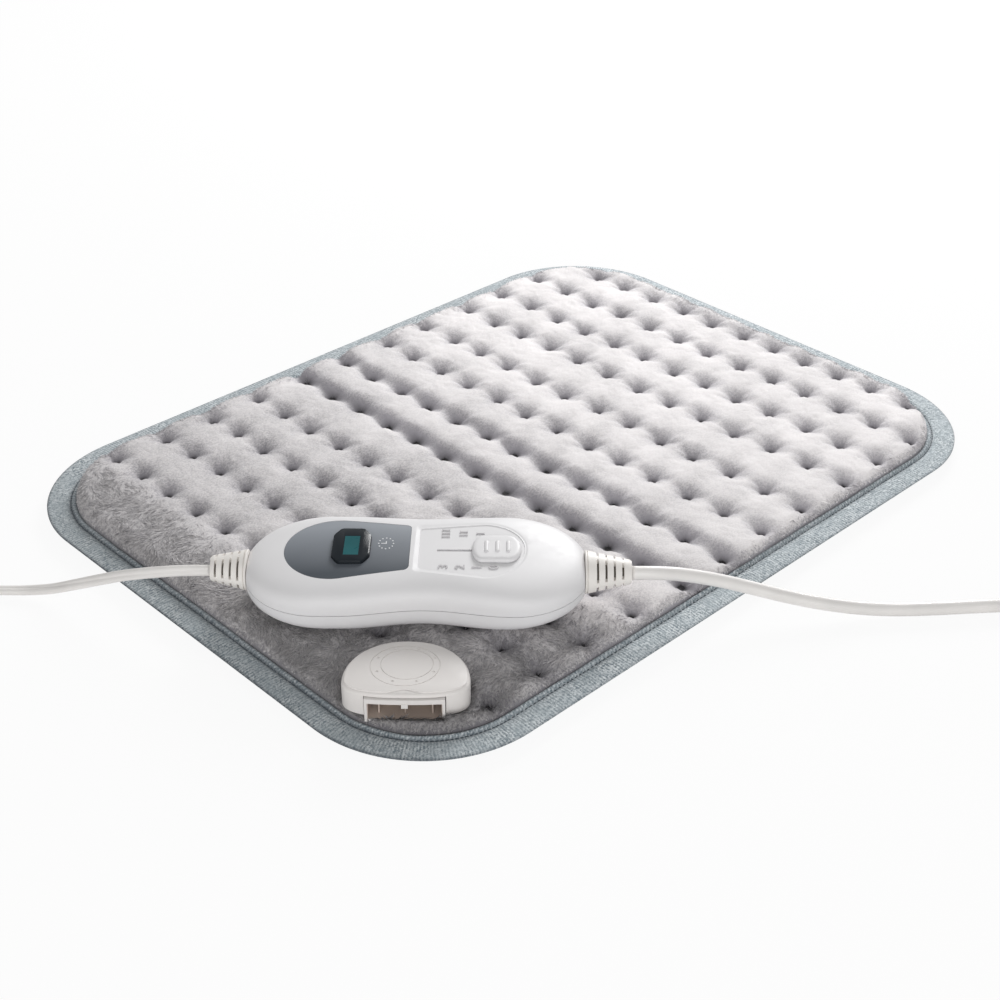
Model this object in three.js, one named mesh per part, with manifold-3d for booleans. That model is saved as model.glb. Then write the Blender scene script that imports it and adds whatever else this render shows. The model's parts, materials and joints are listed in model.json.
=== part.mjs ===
// A quilted heating pad with a corded hand controller, drawn as separate pieces.
// Millimetres, +Z up. The origin is the middle of the pad's underside and +X runs along the pad.
import * as THREE from 'three';
import Module from 'manifold-3d';
import { mergeVertices } from 'three/addons/utils/BufferGeometryUtils.js';

const wasm = await Module();
wasm.setup();

// Driving dimensions
const clearance = 0.3;
const overrun = 2;
const mergeTolerance = 1e-4;

const pad = {
  length: 400,
  width: 300,
  cornerRadius: 60,
  pillowTop: 12.4,
  tuftBottom: 6,
  grooveDrop: 1.6,
  rimHeight: 6.2,
  rimRoll: 10,
  cavityInset: 17,
};

const quilt = {
  columns: 12,
  rows: 13,
  leftInset: 57.4,
  rightInset: 20.85,
  sideInset: 19.5,
  columnSteps: 3,
  rowSteps: 2,
  deepColumns: [4, 5],
};

const binding = {
  width: 12,
  height: 5,
  wall: 1,
  nose: 1.5,
};

const layer = {
  bottomSheet: 1.2,
  flange: 1,
  carrier: 0.6,
  wire: 1.2,
  wadding: 0.6,
};

const heater = {
  rows: 12,
  inset: 40,
  tailLength: 14,
};

const handset = {
  fromLeft: 81.4,
  fromNear: 89.9,
  yaw: THREE.MathUtils.degToRad(-44.3),
  length: 146.6,
  capRadius: 32,
  halfHeight: 12,
  farWaistDepth: 1.8,
  nearWaistDepth: 4.2,
  waistHalfSpan: 37,
  waistShift: 4,
  wall: 2,
  endWall: 9,
  partingGap: 0.3,
};

const panel = {
  noseInset: 39,
  noseRadius: 21.8,
  rightEdge: -2.8,
  rightHalfWidth: 16.9,
  cornerRadius: 3,
  thickness: 0.9,
};

const display = {
  fromNose: 6.7,
  lensHalfX: 8,
  lensHalfY: 12.2,
  lensCornerX: 3,
  lensCornerY: 4.8,
  lensRise: 1,
  moduleHalfX: 10.5,
  moduleHalfY: 14.5,
  moduleHeight: 3.6,
  legWidth: 1,
  legInset: 2,
};

const recess = {
  leftEdge: -1.8,
  leftHalfWidth: 20.9,
  noseInset: 44.9,
  noseLength: 20.5,
  noseHalfWidth: 24,
  leftSlope: 2.9,
  noseSlope: 3.2,
  sideSlope: 6.7,
  cornerRadius: 2.4,
  floorDrop: 1.4,
  floorThickness: 1.6,
};

const slider = {
  fromNose: 5.5,
  length: 21,
  halfWidth: 9.2,
  noseLength: 6,
  heelLength: 4.5,
  height: 1.9,
  edgeRound: 1.4,
  ribCount: 3,
  ribPitch: 4.6,
  ribLength: 8.6,
  ribWidth: 1,
  ribRise: 0.4,
  stemLength: 6,
  stemWidth: 0.9,
  slotWidth: 1.5,
};

const switchBox = {
  endRoom: 5.5,
  width: 10,
  wall: 1.2,
  wiperHeight: 3,
};

const board = {
  bossGap: 5.6,
  width: 40,
  thickness: 1.6,
  drop: 5.4,
  cornerCut: 4,
  pillarRadius: 2.4,
  pillarInset: 4,
};

// Parts on the board, placed by shares of its half length and half width
const boardPartShares = {
  suppression_capacitor: { along: 0.12, across: 0.65 },
  triac: { along: 0.8, across: 0.65 },
  driver_chip: { along: -0.62, across: 0 },
  dropper_resistor: { along: 0.8, across: -0.65 },
  fuse: { along: 0.27, across: -0.65 },
};

const boardParts = {
  suppression_capacitor: { length: 13, width: 6, height: 9, finish: 'tealScreen' },
  triac: { length: 10, width: 4.4, height: 9, finish: 'blackPlastic' },
  driver_chip: { length: 10, width: 6, height: 2, finish: 'blackPlastic' },
  dropper_resistor: { length: 12, width: 4.4, height: 4.4, finish: 'blueFilm' },
};

const fuse = {
  length: 20,
  radius: 2.5,
  capLength: 5,
  capRadius: 3,
};

const screw = {
  endInset: 20.3,
  placeY: 14,
  shankRadius: 1.3,
  headRadius: 2.6,
  headHeight: 1.8,
  headDepth: 1.2,
  bite: 6,
  bossRadius: 3.4,
  bossDrop: 4.5,
};

const relief = {
  flangeRadius: 6.6,
  flangeThickness: 2.2,
  neckRadius: 5.2,
  neckLength: 2,
  ribCount: 4,
  grooveWidth: 1.25,
  grooveDepth: 1.5,
  ringLength: 1.5,
  ringGap: 0.4,
  ringDepth: 0.7,
  spine: 2.2,
};

const mainsRelief = {
  seatInset: 1.6,
  length: 15.6,
  collar: 3,
  ribPitch: 3.25,
  base: [9.4, 6.9],
  tip: [5.4, 4.1],
};

const padRelief = {
  seatInset: 2.2,
  length: 19.9,
  collar: 4.8,
  ribPitch: 3.6,
  base: [11, 7.6],
  tip: [5, 4.3],
};

const mainsCord = {
  width: 5,
  thickness: 3.4,
  coilTurnsPerLayer: 2,
  coilLayers: 4,
  coilInnerRadius: 24,
  coilRate: 7.6,
  coilLayerPitch: 4.2,
};

const padCord = {
  width: 6,
  thickness: 6,
  coilTurnsPerLayer: 1,
  coilLayers: 2,
  coilInnerRadius: 30,
  coilRate: 8,
  coilLayerPitch: 6.6,
};

const tie = {
  thickness: 0.7,
  width: 8,
  corner: 2,
};

const socket = {
  fromLeft: 38.7,
  fromNear: 48.5,
  halfWidth: 25.6,
  front: 17.4,
  back: 20.8,
  waistline: -6,
  sink: 3,
  frontHeight: 21.2,
  topSlope: 0.08,
  edgeRound: 1.6,
  wall: 1.4,
  neckInset: 5,
};

const receptacle = {
  halfWidth: 15.6,
  depth: 15,
  wall: 1.1,
  proud: 1,
  keyWidth: 2.6,
  keyDepth: 1.4,
  keyLength: 5,
  pinCount: 3,
  pinPitch: 8,
  pinLength: 5.5,
  pinWidth: 2.4,
  pinThickness: 0.8,
};

const thermalCutout = {
  length: 12,
  radius: 2.4,
};

const mainsPlug = {
  length: 36,
  faceHalfWidth: 17.6,
  halfThickness: 6.9,
  neckHalfWidth: 5,
  neckHalfThickness: 3.7,
  boreDepth: 7.2,
  pinPitch: 18.6,
  pinRadius: 2,
  pinLength: 19,
};

const leadPlug = {
  gripLength: 26,
  gripHalfWidth: 17,
  halfThickness: 6.4,
  neckHalfWidth: 7,
  seatDepth: 6.5,
  tongueLength: 12,
  fit: 0.5,
  wall: 1.2,
  hoodLength: 10,
};

// Shared heights and places, worked out from the driving dimensions
const carrierBottom = layer.bottomSheet + clearance;
const wireBottom = carrierBottom + layer.carrier + clearance;
const waddingBottom = wireBottom + layer.wire + clearance;
const cavityTop = waddingBottom + layer.wadding + clearance;
const lowerFlangeBottom = binding.wall + clearance;
const upperFlangeBottom = binding.height - binding.wall - clearance - layer.flange;
const upperFlangeTop = upperFlangeBottom + layer.flange;
const coverInset = binding.width + clearance;
const firstColumnX = -pad.length / 2 + quilt.leftInset;
const lastColumnX = pad.length / 2 - quilt.rightInset;
const columnPitch = (lastColumnX - firstColumnX) / (quilt.columns - 1);
const firstRowY = -pad.width / 2 + quilt.sideInset;
const tuftRowPitch = -2 * firstRowY / (quilt.rows - 1);
const wireHalfLength = pad.length / 2 - heater.inset;
const firstWireY = -pad.width / 2 + heater.inset;
const wireRowPitch = -2 * firstWireY / (heater.rows - 1);
const socketX = -pad.length / 2 + socket.fromLeft;
const socketY = -pad.width / 2 + socket.fromNear;
const handsetX = -pad.length / 2 + handset.fromLeft;
const handsetY = -pad.width / 2 + handset.fromNear;
const handsetCentreZ = pad.pillowTop + clearance + handset.halfHeight;
const bodyEnd = handset.length / 2;
const panelNoseX = -bodyEnd + panel.noseInset;
const displayX = panelNoseX + display.fromNose;
const recessNoseX = bodyEnd - recess.noseInset;
const sliderRestX = recessNoseX + slider.fromNose;
const sliderEndX = recess.leftEdge + recess.leftSlope + clearance + slider.length / 2;
const sliderTravel = sliderRestX - sliderEndX;
const screwX = bodyEnd - screw.endInset;
const boardHalfLength = screwX - screw.bossRadius - board.bossGap;
const recessFloorZ = handset.halfHeight - recess.floorDrop;
const boardTop = -board.drop;
const boardBottom = boardTop - board.thickness;
const floorInsideZ = -handset.halfHeight + handset.wall;
const socketBottom = pad.pillowTop - socket.sink;
const receptacleBottom = socketBottom + socket.wall + clearance;
const receptacleReach = receptacle.depth - receptacle.proud;
const socketCeiling = socket.frontHeight - socket.wall - socket.topSlope * receptacleReach;
const receptacleHeight = socketCeiling - clearance - receptacleBottom;
const tubBottom = recessFloorZ - recess.floorThickness;
const moduleTop = tubBottom - clearance;
const switchTop = tubBottom - clearance;
const switchBottom = boardTop + clearance;
const switchMiddle = (sliderRestX + sliderEndX) / 2;
const switchHalfLength = (sliderTravel + slider.stemLength) / 2 + switchBox.endRoom;
const coilBottom = tie.thickness + clearance;
const circleSteps = 16;
const cornerSteps = 5;
const shellLevels = 6;
const insideLevels = 3;

// Materials
function finish(colour, roughness, metalness = 0) {
  return new THREE.MeshStandardMaterial({ color: colour, roughness, metalness });
}

const finishes = {
  plush: () => finish(0xcfc9ca, 0.95),
  lining: () => finish(0xb9b4b5, 0.95),
  wadding: () => finish(0xe8e6e2, 0.95),
  bindingTape: () => finish(0x9aa5ab, 0.85),
  heatWire: () => finish(0xd9cdb8, 0.5),
  whiteShell: () => finish(0xe4e4e5, 0.35),
  ivory: () => finish(0xe9e5dc, 0.5),
  greyLabel: () => finish(0x626c75, 0.4),
  darkLens: () => finish(0x2b3338, 0.12),
  tealScreen: () => finish(0x2c666b, 0.2),
  boardGreen: () => finish(0x2f6b45, 0.5),
  blackPlastic: () => finish(0x26282a, 0.5),
  blueFilm: () => finish(0x3f6fa8, 0.45),
  glass: () => finish(0xcfd8da, 0.1),
  steel: () => finish(0xb7babd, 0.3, 0.9),
  brass: () => finish(0xc9a45a, 0.3, 0.9),
  cordWhite: () => finish(0xe6e3de, 0.5),
  tieGrey: () => finish(0x8c9093, 0.7),
};

// Solids
function solidOf(geometry) {
  const bare = geometry.index ? geometry.toNonIndexed() : geometry.clone();
  bare.deleteAttribute('normal');
  bare.deleteAttribute('uv');
  const merged = mergeVertices(bare, mergeTolerance);
  return new wasm.Manifold(new wasm.Mesh({
    numProp: 3,
    vertProperties: new Float32Array(merged.attributes.position.array),
    triVerts: new Uint32Array(merged.index.array),
  }));
}

function geometryOf(solid) {
  const mesh = solid.getMesh();
  const geometry = new THREE.BufferGeometry();
  const count = mesh.vertProperties.length / mesh.numProp;
  const places = new Float32Array(3 * count);
  for (let i = 0; i < count; i += 1) {
    for (let k = 0; k < 3; k += 1) places[3 * i + k] = mesh.vertProperties[mesh.numProp * i + k];
  }
  geometry.setAttribute('position', new THREE.BufferAttribute(places, 3));
  geometry.setIndex(new THREE.BufferAttribute(new Uint32Array(mesh.triVerts), 1));
  geometry.computeVertexNormals();
  return geometry;
}

function joined(...solids) {
  return solids.reduce((whole, piece) => whole.add(piece));
}

function cut(solid, ...tools) {
  return tools.reduce((left, tool) => left.subtract(tool), solid);
}

function prism(shape, bottom, top, curveSteps = cornerSteps) {
  const options = { depth: top - bottom, bevelEnabled: false, curveSegments: curveSteps };
  return solidOf(new THREE.ExtrudeGeometry(shape, options).translate(0, 0, bottom));
}

function block(x0, x1, y0, y1, z0, z1) {
  const box = new THREE.BoxGeometry(x1 - x0, y1 - y0, z1 - z0);
  return solidOf(box.translate((x0 + x1) / 2, (y0 + y1) / 2, (z0 + z1) / 2));
}

function post(x, y, radius, bottom, top, steps = 10) {
  const rod = new THREE.CylinderGeometry(radius, radius, top - bottom, steps);
  return solidOf(rod.rotateX(Math.PI / 2).translate(x, y, (bottom + top) / 2));
}

function rodAlongX(x0, x1, radius, steps = circleSteps) {
  const rod = new THREE.CylinderGeometry(radius, radius, x1 - x0, steps);
  return solidOf(rod.rotateZ(Math.PI / 2).translate((x0 + x1) / 2, 0, 0));
}

// Closed skin over rings of equally many points. A closed loft joins its last ring to its first.
function loftGeometry(rings, closedLoop = false) {
  const size = rings[0].length;
  const places = rings.flat().flatMap((p) => [p.x, p.y, p.z]);
  const index = [];
  const last = closedLoop ? rings.length : rings.length - 1;
  for (let r = 0; r < last; r += 1) {
    const low = r * size;
    const high = ((r + 1) % rings.length) * size;
    for (let i = 0; i < size; i += 1) {
      const j = (i + 1) % size;
      index.push(low + i, low + j, high + j, low + i, high + j, high + i);
    }
  }
  if (!closedLoop) {
    for (const [ring, flip] of [[0, true], [rings.length - 1, false]]) {
      const middle = new THREE.Vector3();
      rings[ring].forEach((p) => middle.addScaledVector(p, 1 / size));
      const hub = places.length / 3;
      places.push(middle.x, middle.y, middle.z);
      for (let i = 0; i < size; i += 1) {
        const a = ring * size + i;
        const b = ring * size + ((i + 1) % size);
        if (flip) index.push(hub, b, a);
        else index.push(hub, a, b);
      }
    }
  }
  const geometry = new THREE.BufferGeometry();
  geometry.setAttribute('position', new THREE.Float32BufferAttribute(places, 3));
  geometry.setIndex(index);
  return geometry;
}

function ringAt(outline, scale, z) {
  return outline.map((p) => new THREE.Vector3(p.x * scale, p.y * scale, z));
}

const root = new THREE.Group();

function place(name, solid, material, group = root) {
  const geometry = solid instanceof THREE.BufferGeometry ? solid : geometryOf(solid);
  const mesh = new THREE.Mesh(geometry, material);
  mesh.name = name;
  group.add(mesh);
  return mesh;
}

// Outlines
function roundedRect(halfX, halfY, radius) {
  const shape = new THREE.Shape();
  shape.moveTo(halfX, -halfY + radius);
  shape.lineTo(halfX, halfY - radius);
  shape.absarc(halfX - radius, halfY - radius, radius, 0, Math.PI / 2, false);
  shape.lineTo(-halfX + radius, halfY);
  shape.absarc(-halfX + radius, halfY - radius, radius, Math.PI / 2, Math.PI, false);
  shape.lineTo(-halfX, -halfY + radius);
  shape.absarc(-halfX + radius, -halfY + radius, radius, Math.PI, 1.5 * Math.PI, false);
  shape.lineTo(halfX - radius, -halfY);
  shape.absarc(halfX - radius, -halfY + radius, radius, 1.5 * Math.PI, 2 * Math.PI, false);
  return shape;
}

// Points of the pad's rounded outline, drawn in by an inset
function padRing(inset, z) {
  const radius = pad.cornerRadius - inset;
  const points = [];
  for (const [sideX, sideY, quarter] of [[1, 1, 0], [-1, 1, 1], [-1, -1, 2], [1, -1, 3]]) {
    for (let i = 0; i <= cornerSteps; i += 1) {
      const turn = (quarter + i / cornerSteps) * Math.PI / 2;
      points.push(new THREE.Vector3(
        sideX * (pad.length / 2 - pad.cornerRadius) + radius * Math.cos(turn),
        sideY * (pad.width / 2 - pad.cornerRadius) + radius * Math.sin(turn),
        z,
      ));
    }
  }
  return points;
}

// Solid whose edge follows a profile of insets and heights all round the pad
function padLoft(profile, closedLoop = false) {
  return solidOf(loftGeometry(profile.map(([inset, z]) => padRing(inset, z)), closedLoop));
}

function padSheet(inset, bottom, top) {
  return padLoft([[inset, bottom], [inset, top]]);
}

function ovalRing(halfY, halfZ, x, steps = circleSteps) {
  const ring = [];
  for (let i = 0; i < steps; i += 1) {
    const turn = 2 * Math.PI * i / steps;
    ring.push(new THREE.Vector3(x, halfY * Math.cos(turn), halfZ * Math.sin(turn)));
  }
  return ring;
}

// Binding tape, folded over the edge of both covers
function bindingTape() {
  const w = binding.width;
  const h = binding.height;
  const t = binding.wall;
  const n = binding.nose;
  return padLoft([
    [w, 0], [n, 0], [n / 4, n / 2], [0, h / 2], [n / 4, h - n / 2], [n, h], [w, h],
    [w, h - t], [n + t / 2, h - t], [t, h / 2], [n + t / 2, t], [w, t],
  ], true);
}

// Quilted plush cover: a height field whose low points are the sewn tufts
function tuftExists(column, row) {
  const lastColumn = column === quilt.columns - 1;
  return !(lastColumn && (row === 0 || row === quilt.rows - 1));
}

function rimShare(x, y) {
  const halfX = pad.length / 2 - coverInset;
  const halfY = pad.width / 2 - coverInset;
  const radius = pad.cornerRadius - coverInset;
  const dx = Math.max(Math.abs(x) - halfX + radius, 0);
  const dy = Math.max(Math.abs(y) - halfY + radius, 0);
  const straight = Math.min(halfX - Math.abs(x), halfY - Math.abs(y));
  const distance = dx > 0 && dy > 0 ? radius - Math.hypot(dx, dy) : straight;
  const reach = THREE.MathUtils.clamp(distance / pad.rimRoll, 0, 1);
  return Math.sqrt(reach * (2 - reach));
}

function quiltGeometry() {
  const halfX = pad.length / 2 - coverInset;
  const halfY = pad.width / 2 - coverInset;
  const plainStrip = firstColumnX + halfX;
  const xs = [];
  for (const share of [0, 1 / 2]) xs.push({ at: -halfX + share * plainStrip });
  for (let i = 0; i <= (quilt.columns - 1) * quilt.columnSteps; i += 1) {
    xs.push({ at: firstColumnX + i * columnPitch / quilt.columnSteps, step: i });
  }
  xs.push({ at: Math.max(halfX, lastColumnX + overrun) });
  const ys = [{ at: Math.min(-halfY, firstRowY - overrun) }];
  for (let j = 0; j <= (quilt.rows - 1) * quilt.rowSteps; j += 1) {
    ys.push({ at: firstRowY + j * tuftRowPitch / quilt.rowSteps, step: j });
  }
  ys.push({ at: Math.max(halfY, -firstRowY + overrun) });

  function heightAt(column, row) {
    const x = xs[column];
    const y = ys[row];
    const rim = rimShare(x.at, y.at);
    const onColumn = x.step !== undefined && x.step % quilt.columnSteps === 0;
    const onRow = y.step !== undefined && y.step % quilt.rowSteps === 0;
    const i = x.step / quilt.columnSteps;
    const j = y.step / quilt.rowSteps;
    const crown = pad.rimHeight + (pad.pillowTop - pad.rimHeight) * rim;
    if (onColumn && onRow && tuftExists(i, j)) return Math.min(crown, pad.tuftBottom);
    if (onColumn && quilt.deepColumns.includes(i)) return crown - 2 * pad.grooveDrop * rim;
    if (onColumn) return crown - pad.grooveDrop * rim;
    return crown;
  }

  const places = [];
  xs.forEach((x, column) => ys.forEach((y, row) => {
    places.push(x.at, y.at, heightAt(column, row));
  }));
  const at = (column, row) => column * ys.length + row;
  const isTuft = (column, row) => places[3 * at(column, row) + 2] <= pad.tuftBottom;
  const index = [];
  for (let c = 0; c < xs.length - 1; c += 1) {
    for (let r = 0; r < ys.length - 1; r += 1) {
      const [a, b, d, e] = [at(c, r), at(c + 1, r), at(c + 1, r + 1), at(c, r + 1)];
      if (isTuft(c, r) || isTuft(c + 1, r + 1)) index.push(a, b, e, b, d, e);
      else index.push(a, b, d, a, d, e);
    }
  }
  const border = [];
  for (let c = 0; c < xs.length - 1; c += 1) border.push(at(c, 0));
  for (let r = 0; r < ys.length - 1; r += 1) border.push(at(xs.length - 1, r));
  for (let c = xs.length - 1; c > 0; c -= 1) border.push(at(c, ys.length - 1));
  for (let r = ys.length - 1; r > 0; r -= 1) border.push(at(0, r));
  const firstFoot = places.length / 3;
  for (const v of border) places.push(places[3 * v], places[3 * v + 1], upperFlangeTop);
  const hub = places.length / 3;
  places.push(0, 0, upperFlangeTop);
  border.forEach((v, i) => {
    const next = (i + 1) % border.length;
    index.push(v, firstFoot + i, border[next], firstFoot + i, firstFoot + next, border[next]);
    index.push(hub, firstFoot + next, firstFoot + i);
  });
  const geometry = new THREE.BufferGeometry();
  geometry.setAttribute('position', new THREE.Float32BufferAttribute(places, 3));
  geometry.setIndex(index);
  return geometry;
}

function topCover() {
  const body = solidOf(quiltGeometry());
  const trim = padSheet(coverInset, upperFlangeBottom - overrun, pad.pillowTop + overrun);
  const flangeInset = binding.nose + binding.wall / 2 + clearance;
  const flange = padSheet(flangeInset, upperFlangeBottom, upperFlangeTop);
  const cavity = padSheet(pad.cavityInset, -overrun, cavityTop);
  const seat = socketPrism(-clearance, socketBottom - clearance, pad.pillowTop + overrun);
  const neck = socketPrism(socket.neckInset - clearance, -overrun, pad.pillowTop);
  const apron = onSocket(block(
    -receptacle.halfWidth - clearance, receptacle.halfWidth + clearance,
    -socket.front - receptacle.proud - clearance, 0,
    receptacleBottom - clearance, pad.pillowTop + overrun,
  ));
  return cut(joined(body.intersect(trim), flange), cavity, seat, neck, apron);
}

function bottomCover() {
  const edge = binding.nose + binding.wall / 2 + clearance;
  return padLoft([
    [coverInset, 0], [coverInset, lowerFlangeBottom], [edge, lowerFlangeBottom],
    [edge, lowerFlangeBottom + layer.flange], [pad.cavityInset, lowerFlangeBottom + layer.flange],
    [pad.cavityInset, layer.bottomSheet],
  ]);
}

function heaterWire() {
  const points = [];
  const z = wireBottom + layer.wire / 2;
  const bend = wireRowPitch / 2;
  const bendSteps = 3;
  points.push(new THREE.Vector3(-wireHalfLength - heater.tailLength, firstWireY, z));
  for (let row = 0; row < heater.rows; row += 1) {
    const side = row % 2 === 0 ? 1 : -1;
    const y = firstWireY + row * wireRowPitch;
    points.push(new THREE.Vector3(-side * wireHalfLength, y, z));
    points.push(new THREE.Vector3(side * wireHalfLength, y, z));
    if (row === heater.rows - 1) break;
    for (let i = 1; i < bendSteps; i += 1) {
      const turn = Math.PI * i / bendSteps - Math.PI / 2;
      points.push(new THREE.Vector3(
        side * (wireHalfLength + bend * Math.cos(turn)),
        y + bend + bend * Math.sin(turn),
        z,
      ));
    }
  }
  points.push(new THREE.Vector3(
    -wireHalfLength - heater.tailLength,
    -firstWireY,
    z,
  ));
  return solidOf(laidTube(points, layer.wire, layer.wire, 5));
}

// Tube of a flat or round cord that lies level: its wide side stays parallel to the ground
function laidTube(points, width, thickness, sides) {
  const rings = points.map((point, i) => {
    const before = points[Math.max(i - 1, 0)];
    const after = points[Math.min(i + 1, points.length - 1)];
    const ahead = after.clone().sub(before).normalize();
    const across = new THREE.Vector3(-ahead.y, ahead.x, 0).normalize();
    const upward = ahead.clone().cross(across).normalize();
    const ring = [];
    for (let k = 0; k < sides; k += 1) {
      const turn = 2 * Math.PI * k / sides;
      ring.push(point.clone()
        .addScaledVector(across, width / 2 * Math.cos(turn))
        .addScaledVector(upward, thickness / 2 * Math.sin(turn)));
    }
    return ring;
  });
  return loftGeometry(rings);
}

function buildPad() {
  place('pad_bottom_cover', bottomCover(), finishes.lining());
  const layerInset = pad.cavityInset + clearance;
  const carrier = padSheet(layerInset, carrierBottom, carrierBottom + layer.carrier);
  place('heating_carrier', carrier, finishes.wadding());
  place('heating_wire', heaterWire(), finishes.heatWire());
  const wadding = padSheet(layerInset, waddingBottom, waddingBottom + layer.wadding);
  place('wadding', wadding, finishes.wadding());
  place('pad_top_cover', topCover(), finishes.plush());
  place('edge_binding', bindingTape(), finishes.bindingTape());
}

// Socket housing that stands on the pad's corner
const socketGroup = new THREE.Group();
socketGroup.position.set(socketX, socketY, 0);
socketGroup.rotation.z = handset.yaw;
root.add(socketGroup);

function socketOutline(inset) {
  const points = [];
  const steps = 20;
  const frontPower = 2.8;
  const backPower = 2.1;
  for (let i = 0; i < steps; i += 1) {
    const turn = 2 * Math.PI * i / steps;
    const ahead = Math.sin(turn) >= 0;
    const power = 2 / (ahead ? backPower : frontPower);
    const reach = ahead ? socket.back - socket.waistline : socket.front + socket.waistline;
    const x = Math.sign(Math.cos(turn)) * Math.abs(Math.cos(turn)) ** power;
    const y = Math.sign(Math.sin(turn)) * Math.abs(Math.sin(turn)) ** power;
    points.push(new THREE.Vector2(
      x * (socket.halfWidth - inset),
      socket.waistline + y * (reach - inset),
    ));
  }
  return points;
}

function socketPrism(inset, bottom, top) {
  return onSocket(prism(new THREE.Shape(socketOutline(inset)), bottom, top));
}

// Moves a solid from the socket's own frame to the pad's
function onSocket(solid) {
  return solid.rotate([0, 0, THREE.MathUtils.radToDeg(handset.yaw)])
    .translate([socketX, socketY, 0]);
}

// Closed housing with a sloping top and a rounded upper edge
function socketDome(inset, bottom, drop) {
  const edgeShares = [[0, 1], [0.3, 0.3], [1, 0]];
  const foot = socketOutline(inset).map((p) => new THREE.Vector3(p.x, p.y, bottom));
  const rings = edgeShares.map(([inShare, downShare]) => {
    const outline = socketOutline(inset + inShare * socket.edgeRound);
    return outline.map((p) => {
      const slope = socket.topSlope * (p.y + socket.front);
      const top = socket.frontHeight - slope - drop;
      return new THREE.Vector3(p.x, p.y, top - downShare * socket.edgeRound);
    });
  });
  return solidOf(loftGeometry([foot, ...rings]));
}

function buildSocket() {
  const outside = socketDome(0, socketBottom, 0);
  const inside = socketDome(socket.wall, socketBottom - overrun, socket.wall);
  const front = -socket.front - receptacle.proud;
  const mouthTop = receptacleBottom + receptacleHeight;
  const mouth = block(
    -receptacle.halfWidth - clearance, receptacle.halfWidth + clearance,
    front - overrun, front + receptacle.proud + socket.wall + overrun,
    socketBottom - overrun, mouthTop + clearance,
  );
  place('socket_cover', cut(outside, inside, mouth), finishes.whiteShell(), socketGroup);

  const plate = solidOf(loftGeometry([socketBottom, socketBottom + socket.wall].map(
    (z) => ringAt(socketOutline(socket.wall + clearance), 1, z),
  )));
  const neck = solidOf(loftGeometry([cavityTop, socketBottom + socket.wall / 2].map(
    (z) => ringAt(socketOutline(socket.neckInset), 1, z),
  )));
  place('socket_base', joined(plate, neck), finishes.whiteShell(), socketGroup);

  const w = receptacle.wall;
  const half = receptacle.halfWidth;
  const back = front + receptacle.depth;
  const shell = block(-half, half, front, back, receptacleBottom, mouthTop);
  const hollow = block(
    -half + w, half - w, front - overrun, back - w, receptacleBottom + w, mouthTop - w,
  );
  const key = block(
    -receptacle.keyWidth / 2, receptacle.keyWidth / 2,
    front, front + receptacle.keyLength,
    mouthTop - w - receptacle.keyDepth, mouthTop - w / 2,
  );
  const pinMiddleZ = receptacleBottom + receptacleHeight / 2;
  const pinHoles = [];
  for (let i = 0; i < receptacle.pinCount; i += 1) {
    const x = (i - (receptacle.pinCount - 1) / 2) * receptacle.pinPitch;
    const halfX = receptacle.pinWidth / 2;
    const halfZ = receptacle.pinThickness / 2;
    pinHoles.push(block(
      x - halfX - clearance, x + halfX + clearance, back - w - overrun, back + overrun,
      pinMiddleZ - halfZ - clearance, pinMiddleZ + halfZ + clearance,
    ));
    const pin = block(
      x - halfX, x + halfX, back - w - receptacle.pinLength, back + overrun,
      pinMiddleZ - halfZ, pinMiddleZ + halfZ,
    );
    place(`socket_contact_${i + 1}`, pin, finishes.brass(), socketGroup);
  }
  const frame = joined(cut(shell, hollow, ...pinHoles), key);
  place('socket_receptacle', frame, finishes.whiteShell(), socketGroup);

  const { length, radius } = thermalCutout;
  const behindPins = back + overrun + clearance + radius;
  const cutout = rodAlongX(-length / 2, length / 2, radius)
    .translate([0, behindPins, receptacleBottom + radius]);
  place('thermal_cutout', cutout, finishes.steel(), socketGroup);
}

// Hand controller
const handsetGroup = new THREE.Group();
handsetGroup.position.set(handsetX, handsetY, handsetCentreZ);
handsetGroup.rotation.z = handset.yaw;
root.add(handsetGroup);

function handsetOutline(inset) {
  const radius = handset.capRadius - inset;
  const capCentre = bodyEnd - handset.capRadius;
  const capSteps = 12;
  const sideSteps = 7;
  const halfWidthAt = (x, depth) => {
    const from = Math.abs(x - handset.waistShift) / handset.waistHalfSpan;
    const dip = from < 1 ? depth * (1 + Math.cos(Math.PI * from)) / 2 : 0;
    return radius - dip;
  };
  const points = [];
  for (const side of [1, -1]) {
    for (let i = 0; i <= capSteps; i += 1) {
      const turn = Math.PI * (i / capSteps - 0.5);
      points.push(new THREE.Vector2(
        side * (capCentre + radius * Math.cos(turn)),
        side * radius * Math.sin(turn),
      ));
    }
    const waistDepth = side > 0 ? handset.farWaistDepth : handset.nearWaistDepth;
    for (let i = 1; i < sideSteps; i += 1) {
      const x = side * capCentre * (1 - 2 * i / sideSteps);
      points.push(new THREE.Vector2(x, side * halfWidthAt(x, waistDepth)));
    }
  }
  return points;
}

// Half of the pillow-shaped body, above (side 1) or below (side -1) the parting plane
function handsetHalf(side, inset, start, levels) {
  const outline = handsetOutline(inset);
  const height = handset.halfHeight - inset;
  const power = 3.6;
  const flatShare = 0.12;
  const rings = [];
  const rise = start / height;
  const first = Math.asin(rise ** (power / 2));
  for (let i = 0; i <= levels; i += 1) {
    const angle = first + (Math.PI / 2 - first) * i / levels;
    const scale = Math.max(Math.cos(angle), flatShare) ** (2 / power);
    const z = height * Math.sin(angle) ** (2 / power);
    rings.push(ringAt(outline, scale, side * z));
  }
  if (side < 0) rings.reverse();
  return solidOf(loftGeometry(rings));
}

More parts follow.
